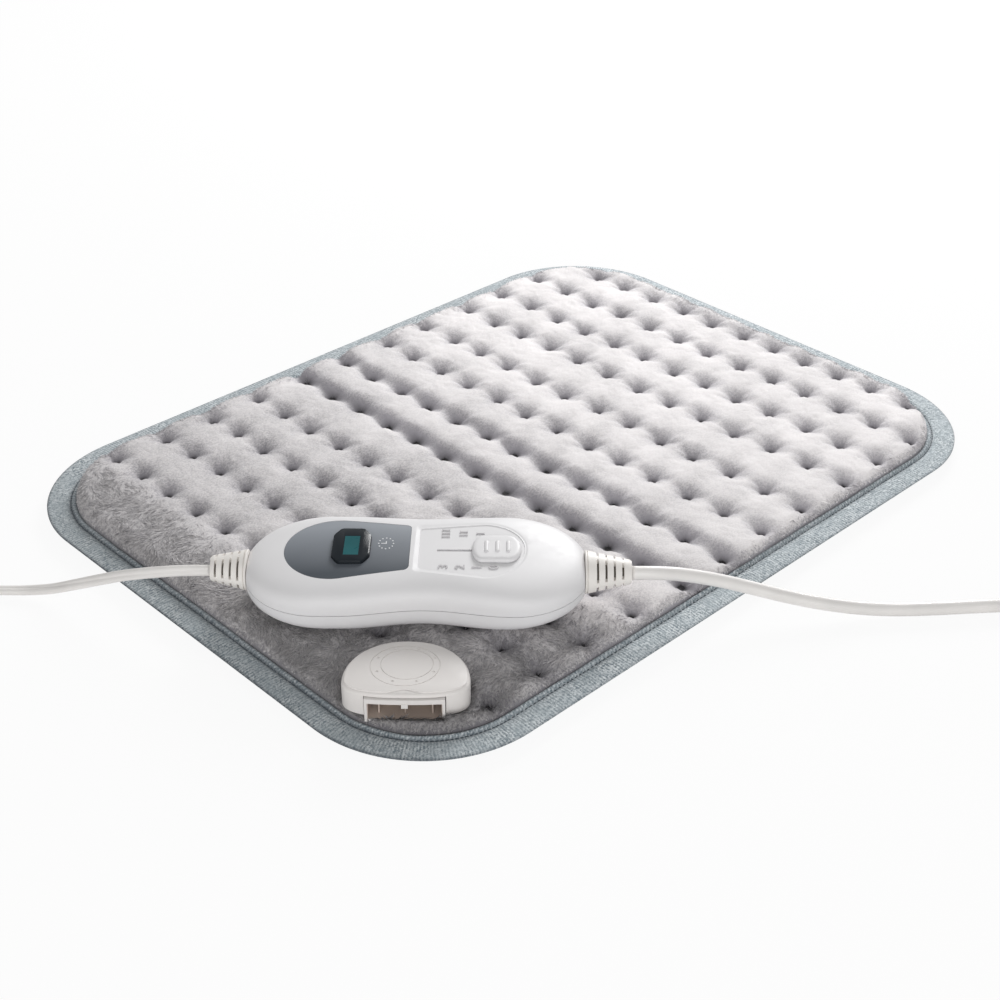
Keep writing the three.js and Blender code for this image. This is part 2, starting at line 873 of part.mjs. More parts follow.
function panelShape(grow) {
  const shape = new THREE.Shape();
  const r = panel.noseRadius + grow;
  const right = panel.rightEdge + grow;
  const half = panel.rightHalfWidth + grow;
  const corner = panel.cornerRadius;
  const lean = Math.atan2(panel.noseRadius - panel.rightHalfWidth, right - panelNoseX);
  const turn = Math.PI / 2 - lean;
  shape.absarc(panelNoseX, 0, r, turn, 2 * Math.PI - turn, false);
  shape.lineTo(right - corner, -half);
  shape.quadraticCurveTo(right, -half, right, -half + corner);
  shape.lineTo(right, half - corner);
  shape.quadraticCurveTo(right, half, right - corner, half);
  shape.closePath();
  return shape;
}

// Octagon with its long sides across the body
function lensOutline(grow) {
  const halfX = display.lensHalfX + grow;
  const halfY = display.lensHalfY + grow;
  const innerX = halfX - display.lensCornerX;
  const innerY = halfY - display.lensCornerY;
  return new THREE.Shape([
    [halfX, -innerY], [halfX, innerY], [innerX, halfY], [-innerX, halfY],
    [-halfX, innerY], [-halfX, -innerY], [-innerX, -halfY], [innerX, -halfY],
  ].map(([x, y]) => new THREE.Vector2(displayX + x, y)));
}

// The recess narrows from its rim (share 0) to its floor (share 1)
function recessOutline(share, grow = 0) {
  const left = recess.leftEdge + share * recess.leftSlope - grow;
  const half = recess.leftHalfWidth - share * recess.sideSlope + grow;
  const noseLength = recess.noseLength - share * recess.noseSlope + grow;
  const noseHalfWidth = recess.noseHalfWidth - share * recess.sideSlope + grow;
  const arcSteps = 14;
  const points = [
    new THREE.Vector2(left, -half + recess.cornerRadius),
    new THREE.Vector2(left + recess.cornerRadius / 2, -half + recess.cornerRadius / 4),
    new THREE.Vector2(left + recess.cornerRadius, -half),
  ];
  for (let i = 0; i <= arcSteps; i += 1) {
    const turn = Math.PI * (i / arcSteps - 0.5);
    points.push(new THREE.Vector2(
      recessNoseX + noseLength * Math.cos(turn),
      noseHalfWidth * Math.sin(turn),
    ));
  }
  points.push(
    new THREE.Vector2(left + recess.cornerRadius, half),
    new THREE.Vector2(left + recess.cornerRadius / 2, half - recess.cornerRadius / 4),
    new THREE.Vector2(left, half - recess.cornerRadius),
  );
  return points;
}

const screwPlaces = [[1, 1], [-1, 1], [-1, -1], [1, -1]].map(
  ([sideX, sideY]) => [sideX * screwX, sideY * screw.placeY],
);

function endBore(side, x0, x1, radius) {
  return side > 0 ? rodAlongX(x0, x1, radius) : rodAlongX(-x1, -x0, radius);
}

// Flat end faces, bores and grooves for the strain reliefs, cut in both shells
function reliefCuts() {
  const inner = bodyEnd - handset.endWall;
  const span = handset.capRadius;
  const tall = handset.halfHeight;
  const cuts = [];
  for (const [side, lead] of [[1, padRelief], [-1, mainsRelief]]) {
    const seat = bodyEnd - lead.seatInset;
    const bore = relief.neckRadius + clearance;
    const groove = relief.flangeRadius + clearance;
    const grooveEnd = seat - relief.neckLength + clearance;
    const ends = [side * seat, side * (bodyEnd + overrun)];
    cuts.push(endBore(side, inner - overrun, bodyEnd, bore));
    cuts.push(endBore(side, inner - overrun, grooveEnd, groove));
    cuts.push(block(Math.min(...ends), Math.max(...ends), -span, span, -tall, tall));
  }
  return cuts;
}

function handsetInside(side) {
  const reach = bodyEnd - handset.endWall;
  const span = handset.capRadius;
  const tall = handset.halfHeight;
  return handsetHalf(side, handset.wall, 0, insideLevels)
    .intersect(block(-reach, reach, -span, span, -tall, tall));
}

function topShell() {
  const outside = handsetHalf(1, 0, handset.partingGap / 2, shellLevels);
  const tub = prism(
    new THREE.Shape(recessOutline(1, recess.floorThickness)), tubBottom, handset.halfHeight,
  );
  const panelBed = prism(panelShape(handset.wall), tubBottom, handset.halfHeight);
  const body = joined(handsetHalf(1, 0, 0, shellLevels), handsetHalf(-1, 0, 0, 1));
  const bosses = screwPlaces.map(([x, y]) => post(
    x, y, screw.bossRadius, -screw.bossDrop, handset.halfHeight,
  ).intersect(body));
  const shell = joined(cut(outside, cut(handsetInside(1), tub, panelBed)), ...bosses);
  const pocket = solidOf(loftGeometry([
    ringAt(recessOutline(1), 1, recessFloorZ),
    ringAt(recessOutline(0), 1, handset.halfHeight),
    ringAt(recessOutline(0), 1, handset.halfHeight + overrun),
  ]));
  const slotRight = sliderRestX + slider.stemLength / 2 + clearance;
  const slotLeft = slotRight - sliderTravel - slider.stemLength - 2 * clearance;
  const slot = block(
    slotLeft, slotRight, -slider.slotWidth / 2, slider.slotWidth / 2, 0, handset.halfHeight,
  );
  const lowered = handsetHalf(1, 0, 0, shellLevels).translate([0, 0, -panel.thickness - clearance]);
  const panelSeat = cut(
    prism(panelShape(clearance), tubBottom + clearance, handset.halfHeight + overrun),
    lowered,
  );
  const window = prism(lensOutline(clearance), 0, handset.halfHeight + overrun);
  const pilotTop = -screw.bossDrop + screw.bite + clearance;
  const pilots = screwPlaces.map(([x, y]) => post(
    x, y, screw.shankRadius + clearance, -handset.halfHeight, pilotTop,
  ));
  return cut(shell, pocket, slot, panelSeat, window, ...reliefCuts(), ...pilots);
}

function bottomShell() {
  const outside = handsetHalf(-1, 0, handset.partingGap / 2, shellLevels);
  const underside = -handset.halfHeight;
  const foot = floorInsideZ - handset.wall / 2;
  const towers = screwPlaces.map(([x, y]) => post(
    x, y, screw.bossRadius, foot, -screw.bossDrop - clearance,
  ));
  const pillarX = boardHalfLength - board.pillarInset;
  const pillarY = board.width / 2 - board.pillarInset;
  const pillars = [[1, 1], [-1, 1], [-1, -1], [1, -1]].map(([sideX, sideY]) => post(
    sideX * pillarX, sideY * pillarY, board.pillarRadius, foot, boardBottom - clearance,
  ));
  const sunk = underside + screw.headDepth + screw.headHeight + clearance;
  const holes = screwPlaces.flatMap(([x, y]) => [
    post(x, y, screw.shankRadius + clearance, underside - overrun, 0),
    post(x, y, screw.headRadius + clearance, underside - overrun, sunk),
  ]);
  const shell = joined(cut(outside, handsetInside(-1)), ...towers, ...pillars);
  return cut(shell, ...reliefCuts(), ...holes);
}

function labelPanel() {
  const outside = handsetHalf(1, 0, 0, shellLevels);
  const lowered = handsetHalf(1, 0, 0, shellLevels).translate([0, 0, -panel.thickness]);
  const above = handset.halfHeight + overrun;
  const sheet = prism(panelShape(0), 0, above).intersect(cut(outside, lowered));
  return cut(sheet, prism(lensOutline(clearance), 0, above));
}

function knob() {
  const profile = (inset) => {
    const points = [];
    const steps = 10;
    for (const [side, length] of [[1, slider.noseLength], [-1, slider.heelLength]]) {
      for (let i = 0; i <= steps; i += 1) {
        const turn = Math.PI * (i / steps - 0.5);
        points.push(new THREE.Vector2(
          side * (slider.length / 2 - length + (length - inset) * Math.cos(turn)),
          side * (slider.halfWidth - inset) * Math.sin(turn),
        ));
      }
    }
    return points;
  };
  const bottom = recessFloorZ + clearance;
  const top = bottom + slider.height;
  const cap = solidOf(loftGeometry([
    ringAt(profile(0), 1, bottom),
    ...[[0, 1], [0.3, 0.3], [1, 0]].map(([inShare, downShare]) => ringAt(
      profile(inShare * slider.edgeRound), 1, top - downShare * slider.edgeRound,
    )),
  ]));
  const ribs = [];
  for (let i = 0; i < slider.ribCount; i += 1) {
    const x = (i - (slider.ribCount - 1) / 2) * slider.ribPitch;
    ribs.push(block(
      x - slider.ribWidth / 2, x + slider.ribWidth / 2,
      -slider.ribLength / 2, slider.ribLength / 2,
      top - slider.edgeRound, top + slider.ribRise,
    ));
  }
  const stem = block(
    -slider.stemLength / 2, slider.stemLength / 2, -slider.stemWidth / 2, slider.stemWidth / 2,
    switchTop - switchBox.wall, bottom + clearance,
  );
  return joined(cap, ...ribs, stem);
}

function switchBody() {
  const halfX = switchHalfLength;
  const halfY = switchBox.width / 2;
  const t = switchBox.wall;
  const box = block(
    switchMiddle - halfX, switchMiddle + halfX, -halfY, halfY, switchBottom, switchTop,
  );
  const channel = block(
    switchMiddle - halfX + t, switchMiddle + halfX - t, -halfY + t, halfY - t,
    switchTop - t - switchBox.wiperHeight - 2 * clearance, switchTop - t,
  );
  const slot = block(
    switchMiddle - sliderTravel / 2 - slider.stemLength / 2 - clearance,
    switchMiddle + sliderTravel / 2 + slider.stemLength / 2 + clearance,
    -slider.slotWidth / 2, slider.slotWidth / 2, switchTop - 2 * t, switchTop + overrun,
  );
  return cut(box, channel, slot);
}

function wiper() {
  const top = switchTop - switchBox.wall - clearance;
  const halfY = switchBox.width / 2 - switchBox.wall - clearance;
  return cut(
    block(
      -slider.stemLength / 2 - switchBox.wall, slider.stemLength / 2 + switchBox.wall, -halfY, halfY,
      top - switchBox.wiperHeight, top,
    ),
    block(
      -slider.stemLength / 2 - clearance, slider.stemLength / 2 + clearance,
      -slider.stemWidth / 2 - clearance, slider.stemWidth / 2 + clearance,
      top - clearance - switchBox.wall, top + overrun,
    ),
  );
}

function strainRelief(side, { seatInset, base, tip, length, collar, ribPitch }, steps = 12) {
  const seat = bodyEnd - seatInset;
  const start = seat + clearance;
  const end = start + length;
  const lerp = (share, k) => base[k] + (tip[k] - base[k]) * share;
  const taperRings = (shrink) => [0, 1].map((share) => ovalRing(
    lerp(share, 0) - shrink, lerp(share, 1) - shrink, start + share * length, steps,
  ));
  const taper = solidOf(loftGeometry(taperRings(0)));
  const core = solidOf(loftGeometry(taperRings(relief.grooveDepth)));
  const reach = Math.max(...base) + overrun;
  const ringEnd = start + relief.ringLength;
  const ring = solidOf(loftGeometry(taperRings(relief.ringDepth))).intersect(
    block(start, start + collar, -reach, reach, -reach, reach),
  );
  const grooves = [block(ringEnd, ringEnd + relief.ringGap, -reach, reach, -reach, reach)];
  for (let i = 0; i < relief.ribCount; i += 1) {
    const x = start + collar + i * ribPitch;
    grooves.push(block(x, x + relief.grooveWidth, -reach, reach, -reach, reach));
  }
  const half = relief.spine / 2;
  const spines = joined(
    block(start + collar, end, -reach, reach, -half, half),
    block(start + collar, end, -half, half, -reach, reach),
  ).intersect(taper);
  const ribs = joined(cut(taper, ...grooves), core, ring, spines);
  const flangeEnd = seat - relief.neckLength;
  const neck = rodAlongX(flangeEnd - clearance, start + clearance, relief.neckRadius);
  const flange = rodAlongX(flangeEnd - relief.flangeThickness, flangeEnd, relief.flangeRadius);
  const whole = joined(ribs, neck, flange);
  return side > 0 ? whole : whole.rotate([0, 0, 180]);
}

function shellScrew(x, y) {
  const headBottom = -handset.halfHeight + screw.headDepth;
  const headTop = headBottom + screw.headHeight;
  return joined(
    post(x, y, screw.headRadius, headBottom, headTop),
    post(x, y, screw.shankRadius, headTop - clearance, -screw.bossDrop + screw.bite),
  );
}

function displayModule() {
  const top = moduleTop;
  const x = displayX;
  const body = block(
    x - display.moduleHalfX, x + display.moduleHalfX, -display.moduleHalfY, display.moduleHalfY,
    top - display.moduleHeight, top,
  );
  const legs = [[1, 1], [-1, 1], [-1, -1], [1, -1]].map(([sideX, sideY]) => {
    const legX = x + sideX * (display.moduleHalfX - display.legInset);
    const legY = sideY * (display.moduleHalfY - display.legInset);
    return post(legX, legY, display.legWidth, boardTop + clearance, top - display.moduleHeight / 2);
  });
  return joined(body, ...legs);
}

function circuitBoard() {
  const halfX = boardHalfLength;
  const halfY = board.width / 2;
  const c = board.cornerCut;
  const shape = new THREE.Shape([
    [halfX, -halfY + c], [halfX, halfY - c], [halfX - c, halfY], [-halfX + c, halfY],
    [-halfX, halfY - c], [-halfX, -halfY + c], [-halfX + c, -halfY], [halfX - c, -halfY],
  ].map(([x, y]) => new THREE.Vector2(x, y)));
  return prism(shape, boardBottom, boardTop);
}

function boardPlace(name) {
  const { along, across } = boardPartShares[name];
  return [along * boardHalfLength, across * board.width / 2];
}

function buildBoardParts() {
  const seat = boardTop + clearance;
  for (const [name, part] of Object.entries(boardParts)) {
    const [x, y] = boardPlace(name);
    const halfX = part.length / 2;
    const halfY = part.width / 2;
    const body = block(x - halfX, x + halfX, y - halfY, y + halfY, seat, seat + part.height);
    place(name, body, finishes[part.finish](), handsetGroup);
  }
  const [fuseX, fuseY] = boardPlace('fuse');
  const tube = rodAlongX(-fuse.length / 2, fuse.length / 2, fuse.radius, 12);
  const caps = [-1, 1].map((side) => {
    const middle = side * (fuse.length - fuse.capLength) / 2;
    return rodAlongX(middle - fuse.capLength / 2, middle + fuse.capLength / 2, fuse.capRadius, 12);
  });
  const whole = joined(tube, ...caps).translate([fuseX, fuseY, seat + fuse.capRadius]);
  place('fuse', whole, finishes.glass(), handsetGroup);
}

function buildHandset() {
  place('controller_top_shell', topShell(), finishes.whiteShell(), handsetGroup);
  place('controller_bottom_shell', bottomShell(), finishes.whiteShell(), handsetGroup);
  place('label_panel', labelPanel(), finishes.greyLabel(), handsetGroup);
  const lensTop = handset.halfHeight + display.lensRise;
  const lens = prism(lensOutline(0), moduleTop + clearance, lensTop);
  place('display_lens', lens, finishes.darkLens(), handsetGroup);
  place('display_module', displayModule(), finishes.tealScreen(), handsetGroup);
  place('circuit_board', circuitBoard(), finishes.boardGreen(), handsetGroup);
  place('slide_switch_body', switchBody(), finishes.blackPlastic(), handsetGroup);
  const knobMesh = place('slider_knob', knob(), finishes.whiteShell(), handsetGroup);
  const wiperMesh = place('slider_wiper', wiper(), finishes.brass(), handsetGroup);
  knobMesh.position.x = sliderRestX;
  wiperMesh.position.x = sliderRestX;
  buildBoardParts();
  screwPlaces.forEach(([x, y], i) => {
    place(`shell_screw_${i + 1}`, shellScrew(x, y), finishes.steel(), handsetGroup);
  });
  place('pad_lead_strain_relief', strainRelief(1, padRelief), finishes.ivory(), handsetGroup);
  place('mains_strain_relief', strainRelief(-1, mainsRelief), finishes.ivory(), handsetGroup);
}

// Leads, drawn in a level frame that lies under the controller and turns with it
const leadGroup = new THREE.Group();
leadGroup.position.set(handsetX, handsetY, 0);
leadGroup.rotation.z = handset.yaw;
root.add(leadGroup);

const reliefTip = (lead) => lead.length + 2 * clearance - lead.seatInset;
const beyond = (side, route) => route.map(([past, ...rest]) => [side * (bodyEnd + past), ...rest]);

// Hand-chosen routes from the strain relief to the coil: how far past the body, across and up
const mainsRoute = beyond(-1, [
  [reliefTip(mainsRelief), 0, handsetCentreZ],
  [23.7, 0.1, handsetCentreZ],
  [32.7, 1.2, 23],
  [42.7, 3.4, 19.6],
  [53.7, 6, 15.4],
  [65.7, 8.8, 10.8],
  [77.7, 11.4, 6.6],
  [88.7, 13.3, 3.9],
  [100.7, 14.8, 2.6],
  [112.7, 15.4, 2.2],
  [125.7, 15.2, 2.3],
  [137.7, 14.6, 2.6],
  [146.7, 14.5, 2.7],
]);

const padLeadRoute = beyond(1, [
  [reliefTip(padRelief), 0, handsetCentreZ],
  [27.7, 0, handsetCentreZ],
  [36.7, 1.6, 23.2],
  [47.7, 4.2, 19.8],
  [59.7, 6, 16],
  [72.7, 6, 12.4],
  [86.7, 4.6, 9.4],
  [101.7, 3.4, 6.8],
  [116.7, 3, 4.8],
  [132.7, 3.4, 3.6],
  [150.7, 4.6, 3.3],
  [168.7, 6.2, 3.3],
  [186.7, 7.6, 3.4],
  [200.7, 8, 3.8],
  [210.7, 8, 4],
]);

const mainsCoil = { turnAt: beyond(-1, [[153.7, 14.5]])[0], side: -1, tailDrop: 34 };
const padLeadCoil = { turnAt: beyond(1, [[218.7, 8]])[0], side: 1, tailDrop: 30 };

function freeLead(route, cord, steps) {
  const path = new THREE.CatmullRomCurve3(route.map(([x, y, z]) => new THREE.Vector3(x, y, z)));
  const sides = 8;
  const section = [];
  for (let i = 0; i < sides; i += 1) {
    const turn = 2 * Math.PI * i / sides;
    section.push(new THREE.Vector2(
      cord.thickness / 2 * Math.sin(turn),
      cord.width / 2 * Math.cos(turn),
    ));
  }
  const options = { steps, extrudePath: path, bevelEnabled: false };
  return solidOf(new THREE.ExtrudeGeometry(new THREE.Shape(section), options));
}

function easing(share) {
  const s = THREE.MathUtils.clamp(share, 0, 1);
  return s * s * (3 - 2 * s);
}

function coilRadius(cord, turn) {
  const perLayer = cord.coilTurnsPerLayer;
  const nearest = THREE.MathUtils.clamp(Math.round(turn / perLayer), 1, cord.coilLayers - 1);
  const moved = Math.max(Math.abs(turn - nearest * perLayer) - 1 / 4, 0);
  const outer = cord.coilInnerRadius + cord.coilRate * (perLayer - 1 / 2);
  if (nearest % 2 === 1) return cord.coilInnerRadius + cord.coilRate * moved;
  return outer - cord.coilRate * moved;
}

function coilLayer(cord, turn) {
  const perLayer = cord.coilTurnsPerLayer;
  const nearest = THREE.MathUtils.clamp(Math.round(turn / perLayer), 1, cord.coilLayers - 1);
  return nearest - 1 + easing((turn - nearest * perLayer + 1 / 4) * 2);
}

// Loops that wind in and out, layer on layer, and leave in a tail that comes down to the plug
function coilPath(cord, coil, plugHeight) {
  const stepsPerTurn = 24;
  const turns = cord.coilTurnsPerLayer * cord.coilLayers;
  const [turnX, turnY] = coil.turnAt;
  const first = coilRadius(cord, 0);
  const lowest = coilBottom + cord.thickness / 2;
  const points = [new THREE.Vector3(turnX - coil.side * cord.width, turnY, lowest)];
  for (let i = 0; i <= turns * stepsPerTurn; i += 1) {
    const turn = i / stepsPerTurn;
    const radius = coilRadius(cord, turn);
    points.push(new THREE.Vector3(
      turnX + coil.side * radius * Math.sin(2 * Math.PI * turn),
      turnY - first + radius * Math.cos(2 * Math.PI * turn),
      lowest + coilLayer(cord, turn) * cord.coilLayerPitch,
    ));
  }
  const top = points[points.length - 1];
  const levelShare = 3.4;
  const level = levelShare * cord.width;
  const tailSteps = 6;
  for (let i = 0; i <= tailSteps; i += 1) {
    const share = i / tailSteps;
    points.push(new THREE.Vector3(
      top.x + coil.side * (level + share * coil.tailDrop),
      top.y,
      THREE.MathUtils.lerp(top.z, plugHeight, easing(share)),
    ));
  }
  const end = points[points.length - 1].clone();
  end.x += coil.side * cord.width;
  points.push(end);
  return points;
}

// Least gap between a laid tube and its own other turns, measured on the points of its rings
function leastGap(points, cord, sides) {
  const places = laidTube(points, cord.width, cord.thickness, sides).attributes.position;
  const along = [0];
  points.slice(1).forEach((p, i) => along.push(along[i] + p.distanceTo(points[i])));
  const a = new THREE.Vector3();
  const b = new THREE.Vector3();
  let least = Infinity;
  for (let i = 0; i < points.length; i += 1) {
    for (let j = i + 1; j < points.length; j += 1) {
      const apart = points[i].distanceTo(points[j]);
      if (along[j] - along[i] < 4 * cord.width || apart > 2 * cord.width) continue;
      for (let k = 0; k < sides * sides; k += 1) {
        a.fromBufferAttribute(places, i * sides + Math.floor(k / sides));
        b.fromBufferAttribute(places, j * sides + (k % sides));
        least = Math.min(least, a.distanceTo(b));
      }
    }
  }
  return least;
}

function coilTie(cord, coil) {
  const perLayer = cord.coilTurnsPerLayer;
  const slack = 2 * clearance;
  const innerTurn = coilRadius(cord, perLayer - 1 / 2) - cord.width / 2;
  const sagitta = tie.width * tie.width / 8 / innerTurn;
  const inner = innerTurn - sagitta - slack;
  const outer = coilRadius(cord, 1 / 2) + cord.width / 2 + slack;
  const tall = (cord.coilLayers - 1) * cord.coilLayerPitch + cord.thickness + clearance + slack;
  const halfX = (outer - inner) / 2 + tie.thickness;
  const halfY = tall / 2 + tie.thickness;
  const shape = roundedRect(halfX, halfY, tie.corner);
  const thin = tie.thickness;
  shape.holes.push(roundedRect(halfX - thin, halfY - thin, tie.corner - thin));
  const options = { depth: tie.width, bevelEnabled: false, curveSegments: 3 };
  const band = new THREE.ExtrudeGeometry(shape, options);
  band.rotateX(Math.PI / 2).rotateZ(Math.PI / 2);
  const [x, y] = coil.turnAt;
  const middleY = y - coilRadius(cord, 0) - (inner + outer) / 2;
  return solidOf(band.translate(x - tie.width / 2, middleY, halfY));
}

function squircleRing(halfY, halfZ, x, steps = 20) {
  const ring = [];
  const power = 2 / 4.5;
  for (let i = 0; i < steps; i += 1) {
    const turn = 2 * Math.PI * i / steps;
    const y = Math.sign(Math.cos(turn)) * Math.abs(Math.cos(turn)) ** power;
    const z = Math.sign(Math.sin(turn)) * Math.abs(Math.sin(turn)) ** power;
    ring.push(new THREE.Vector3(x, halfY * y, halfZ * z));
  }
  return ring;
}

function buildMainsPlug(group) {
  const { length, boreDepth, pinPitch, pinRadius } = mainsPlug;
  const widthShares = [0, 0.16, 0.62, 0.92, 1];
  const thicknessShares = [0, 0.3, 0.9, 1, 1];
  const lengthShares = [0, 0.3, 0.55, 0.75, 1];
  const body = solidOf(loftGeometry(lengthShares.map((share, i) => squircleRing(
    THREE.MathUtils.lerp(mainsPlug.neckHalfWidth, mainsPlug.faceHalfWidth, widthShares[i]),
    THREE.MathUtils.lerp(mainsPlug.neckHalfThickness, mainsPlug.halfThickness, thicknessShares[i]),
    share * length,
  ))));
  const boreFrom = length - boreDepth;
  const bores = [-1, 1].map((side) => rodAlongX(boreFrom, length + overrun, pinRadius + clearance)
    .translate([0, side * pinPitch / 2, 0]));
  place('mains_plug_body', cut(body, ...bores), finishes.cordWhite(), group);
  [-1, 1].forEach((side, i) => {
    const reach = mainsPlug.pinLength + boreDepth - clearance;
    const profile = [
      [0, 0], [pinRadius, 0], [pinRadius, reach - pinRadius / 2], [pinRadius / 2, reach], [0, reach],
    ];
    const pin = new THREE.LatheGeometry(profile.map(([r, y]) => new THREE.Vector2(r, y)), 12);
    pin.rotateZ(-Math.PI / 2).translate(boreFrom + clearance, side * pinPitch / 2, 0);
    place(`mains_plug_pin_${i + 1}`, solidOf(pin), finishes.steel(), group);
  });
}

function buildLeadPlug(group) {
  const { gripLength, gripHalfWidth, halfThickness, tongueLength, fit, wall } = leadPlug;
  const widthShares = [0, 0.1, 0.7, 1, 1];
  const thicknessShares = [0.55, 0.62, 0.92, 1, 1];
  const lengthShares = [0, 0.2, 0.5, 0.8, 1];
  const grip = solidOf(loftGeometry(lengthShares.map((share, i) => squircleRing(
    THREE.MathUtils.lerp(leadPlug.neckHalfWidth, gripHalfWidth, widthShares[i]),
    halfThickness * thicknessShares[i],
    share * gripLength,
  ))));
  const tongueHalfX = receptacle.halfWidth - receptacle.wall - fit;
  const tongueHalfZ = receptacleHeight / 2 - receptacle.wall - fit;
  const tongueStart = gripLength - leadPlug.seatDepth;
  const socketHole = block(
    tongueStart - clearance, gripLength + overrun,
    -tongueHalfX - clearance, tongueHalfX + clearance,
    -tongueHalfZ - clearance, tongueHalfZ + clearance,
  );
  const reach = gripLength + overrun;
  const half = gripHalfWidth + overrun;
  const upperHalf = block(-overrun, reach, -half, half, clearance / 2, halfThickness + overrun);
  const lowerHalf = block(-overrun, reach, -half, half, -halfThickness - overrun, -clearance / 2);
  const hollowGrip = cut(grip, socketHole);
  place('connector_upper_shell', hollowGrip.intersect(upperHalf), finishes.cordWhite(), group);
  place('connector_lower_shell', hollowGrip.intersect(lowerHalf), finishes.cordWhite(), group);

  const tongueEnd = gripLength + tongueLength;
  const keyway = block(
    tongueEnd - receptacle.keyLength - fit, tongueEnd + overrun,
    -receptacle.keyWidth / 2 - fit, receptacle.keyWidth / 2 + fit,
    tongueHalfZ - receptacle.keyDepth, tongueHalfZ + overrun,
  );
  const slots = [];
  for (let i = 0; i < receptacle.pinCount; i += 1) {
    const y = (i - (receptacle.pinCount - 1) / 2) * receptacle.pinPitch;
    const halfY = receptacle.pinWidth / 2 + wall / 2;
    const halfZ = receptacle.pinThickness / 2 + wall / 2;
    const inner = tongueEnd - leadPlug.hoodLength;
    slots.push(block(inner, tongueEnd + overrun, y - halfY, y + halfY, -halfZ, halfZ));
    const sleeve = cut(
      block(
        inner + clearance, tongueEnd - wall, y - halfY + clearance, y + halfY - clearance,
        -halfZ + clearance / 2, halfZ - clearance / 2,
      ),
      block(
        inner + wall, tongueEnd, y - halfY + 2 * clearance, y + halfY - 2 * clearance,
        -receptacle.pinThickness / 2, receptacle.pinThickness / 2,
      ),
    );
    place(`connector_contact_${i + 1}`, sleeve, finishes.brass(), group);
  }
  const tongue = block(
    tongueStart, tongueEnd, -tongueHalfX, tongueHalfX, -tongueHalfZ, tongueHalfZ,
  );
  place('connector_tongue', cut(tongue, keyway, ...slots), finishes.ivory(), group);
}

function plugGroup(path, coil, height) {
  const end = path[path.length - 1];
  const group = new THREE.Group();
  group.position.set(end.x + coil.side * clearance, end.y, height);
  group.rotation.z = coil.side > 0 ? 0 : Math.PI;
  leadGroup.add(group);
  return group;
}

function buildLead(name, route, cord, coil, plugHeight) {
  const sides = 6;
  const [turnX] = coil.turnAt;
  const meet = turnX - coil.side * (cord.width + clearance);
  const met = [...route, [meet, route[route.length - 1][1], route[route.length - 1][2]]];
  place(`${name}_free`, freeLead(met, cord, 2 * met.length), finishes.cordWhite(), leadGroup);
  const path = coilPath(cord, coil, plugHeight);
  const loops = solidOf(laidTube(path, cord.width, cord.thickness, sides));
  place(`${name}_coil`, loops, finishes.cordWhite(), leadGroup);
  place(`${name}_tie`, coilTie(cord, coil), finishes.tieGrey(), leadGroup);
  console.log(`${name} coil: least gap to itself ${leastGap(path, cord, sides).toFixed(2)} mm`);
  return plugGroup(path, coil, plugHeight);
}

buildPad();
buildSocket();
buildHandset();
buildMainsPlug(buildLead('mains_lead', mainsRoute, mainsCord, mainsCoil, mainsPlug.halfThickness));
buildLeadPlug(buildLead('pad_lead', padLeadRoute, padCord, padLeadCoil, leadPlug.halfThickness));

export default root;
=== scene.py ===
# Looks of a quilted heating pad and its corded hand controller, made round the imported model.
# Sizes are in millimetres, and each mesh is brought to metres when it is made.
import json
import math
from types import SimpleNamespace as Sizes

import bmesh
import bpy
import numpy as np
from mathutils import Matrix, Vector


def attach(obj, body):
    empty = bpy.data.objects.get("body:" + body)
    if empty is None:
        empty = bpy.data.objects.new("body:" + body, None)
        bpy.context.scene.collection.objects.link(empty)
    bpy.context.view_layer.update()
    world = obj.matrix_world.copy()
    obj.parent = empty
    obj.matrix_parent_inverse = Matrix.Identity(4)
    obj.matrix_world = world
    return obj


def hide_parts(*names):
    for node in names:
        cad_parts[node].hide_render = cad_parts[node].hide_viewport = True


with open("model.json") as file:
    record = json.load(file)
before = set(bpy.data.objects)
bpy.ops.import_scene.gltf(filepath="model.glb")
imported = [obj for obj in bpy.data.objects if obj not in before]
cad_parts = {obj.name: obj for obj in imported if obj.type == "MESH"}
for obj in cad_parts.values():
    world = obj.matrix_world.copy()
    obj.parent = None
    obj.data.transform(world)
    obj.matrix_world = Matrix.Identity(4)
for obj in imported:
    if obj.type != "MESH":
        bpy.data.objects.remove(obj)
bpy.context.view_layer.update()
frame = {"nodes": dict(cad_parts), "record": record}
nodes = frame["nodes"]

MM = 0.001

# Sizes that follow the model's, some of them refined by the photograph
pad = Sizes(
    length=400, width=300, corner=60, pillow_top=12.4, rim=6.2, cover_edge=13.4,
    backing_edge=12.3,
)
quilt = Sizes(
    columns=12, rows=13, pitch_x=29.25, pitch_y=21.5, first_x=-145.5, lean=0.017,
    drift=np.array((0.8, 0.1, -1.5, -1.7, 0.4, -0.7, -0.6, -0.9, 2.1, 0.8, 0.5, 0.3)),
)
handset = Sizes(
    x=-118.6, y=-60.1, yaw=math.radians(-44.3), length=146.6, cap=32.0, half=12.0,
    far_waist=1.8, near_waist=4.2, waist_span=37.0, waist_shift=4.0, wall=2.0, end_wall=9.0,
    gap=0.3, power=3.6,
)
handset.z = pad.pillow_top + 0.3 + handset.half
handset.sky = handset.half + 2
panel = Sizes(nose=-34.3, radius=21.8, right=-2.8, half=16.9, corner=3.0, thick=0.9)
display = Sizes(x=-27.6, y=1.2, half_x=8.0, half_y=12.2, corner_x=3.0, corner_y=4.8, rise=1.3)
recess = Sizes(
    left=-1.8, half=20.9, nose=28.4, nose_length=20.5, nose_half=24.0, left_slope=2.9,
    nose_slope=3.2, side_slope=6.7, corner=2.4, drop=1.1, floor=1.6, near_left=1.8,
    near_slope=3.6,
)
recess.floor_z = handset.half - recess.drop
recess.tub_z = recess.floor_z - recess.floor
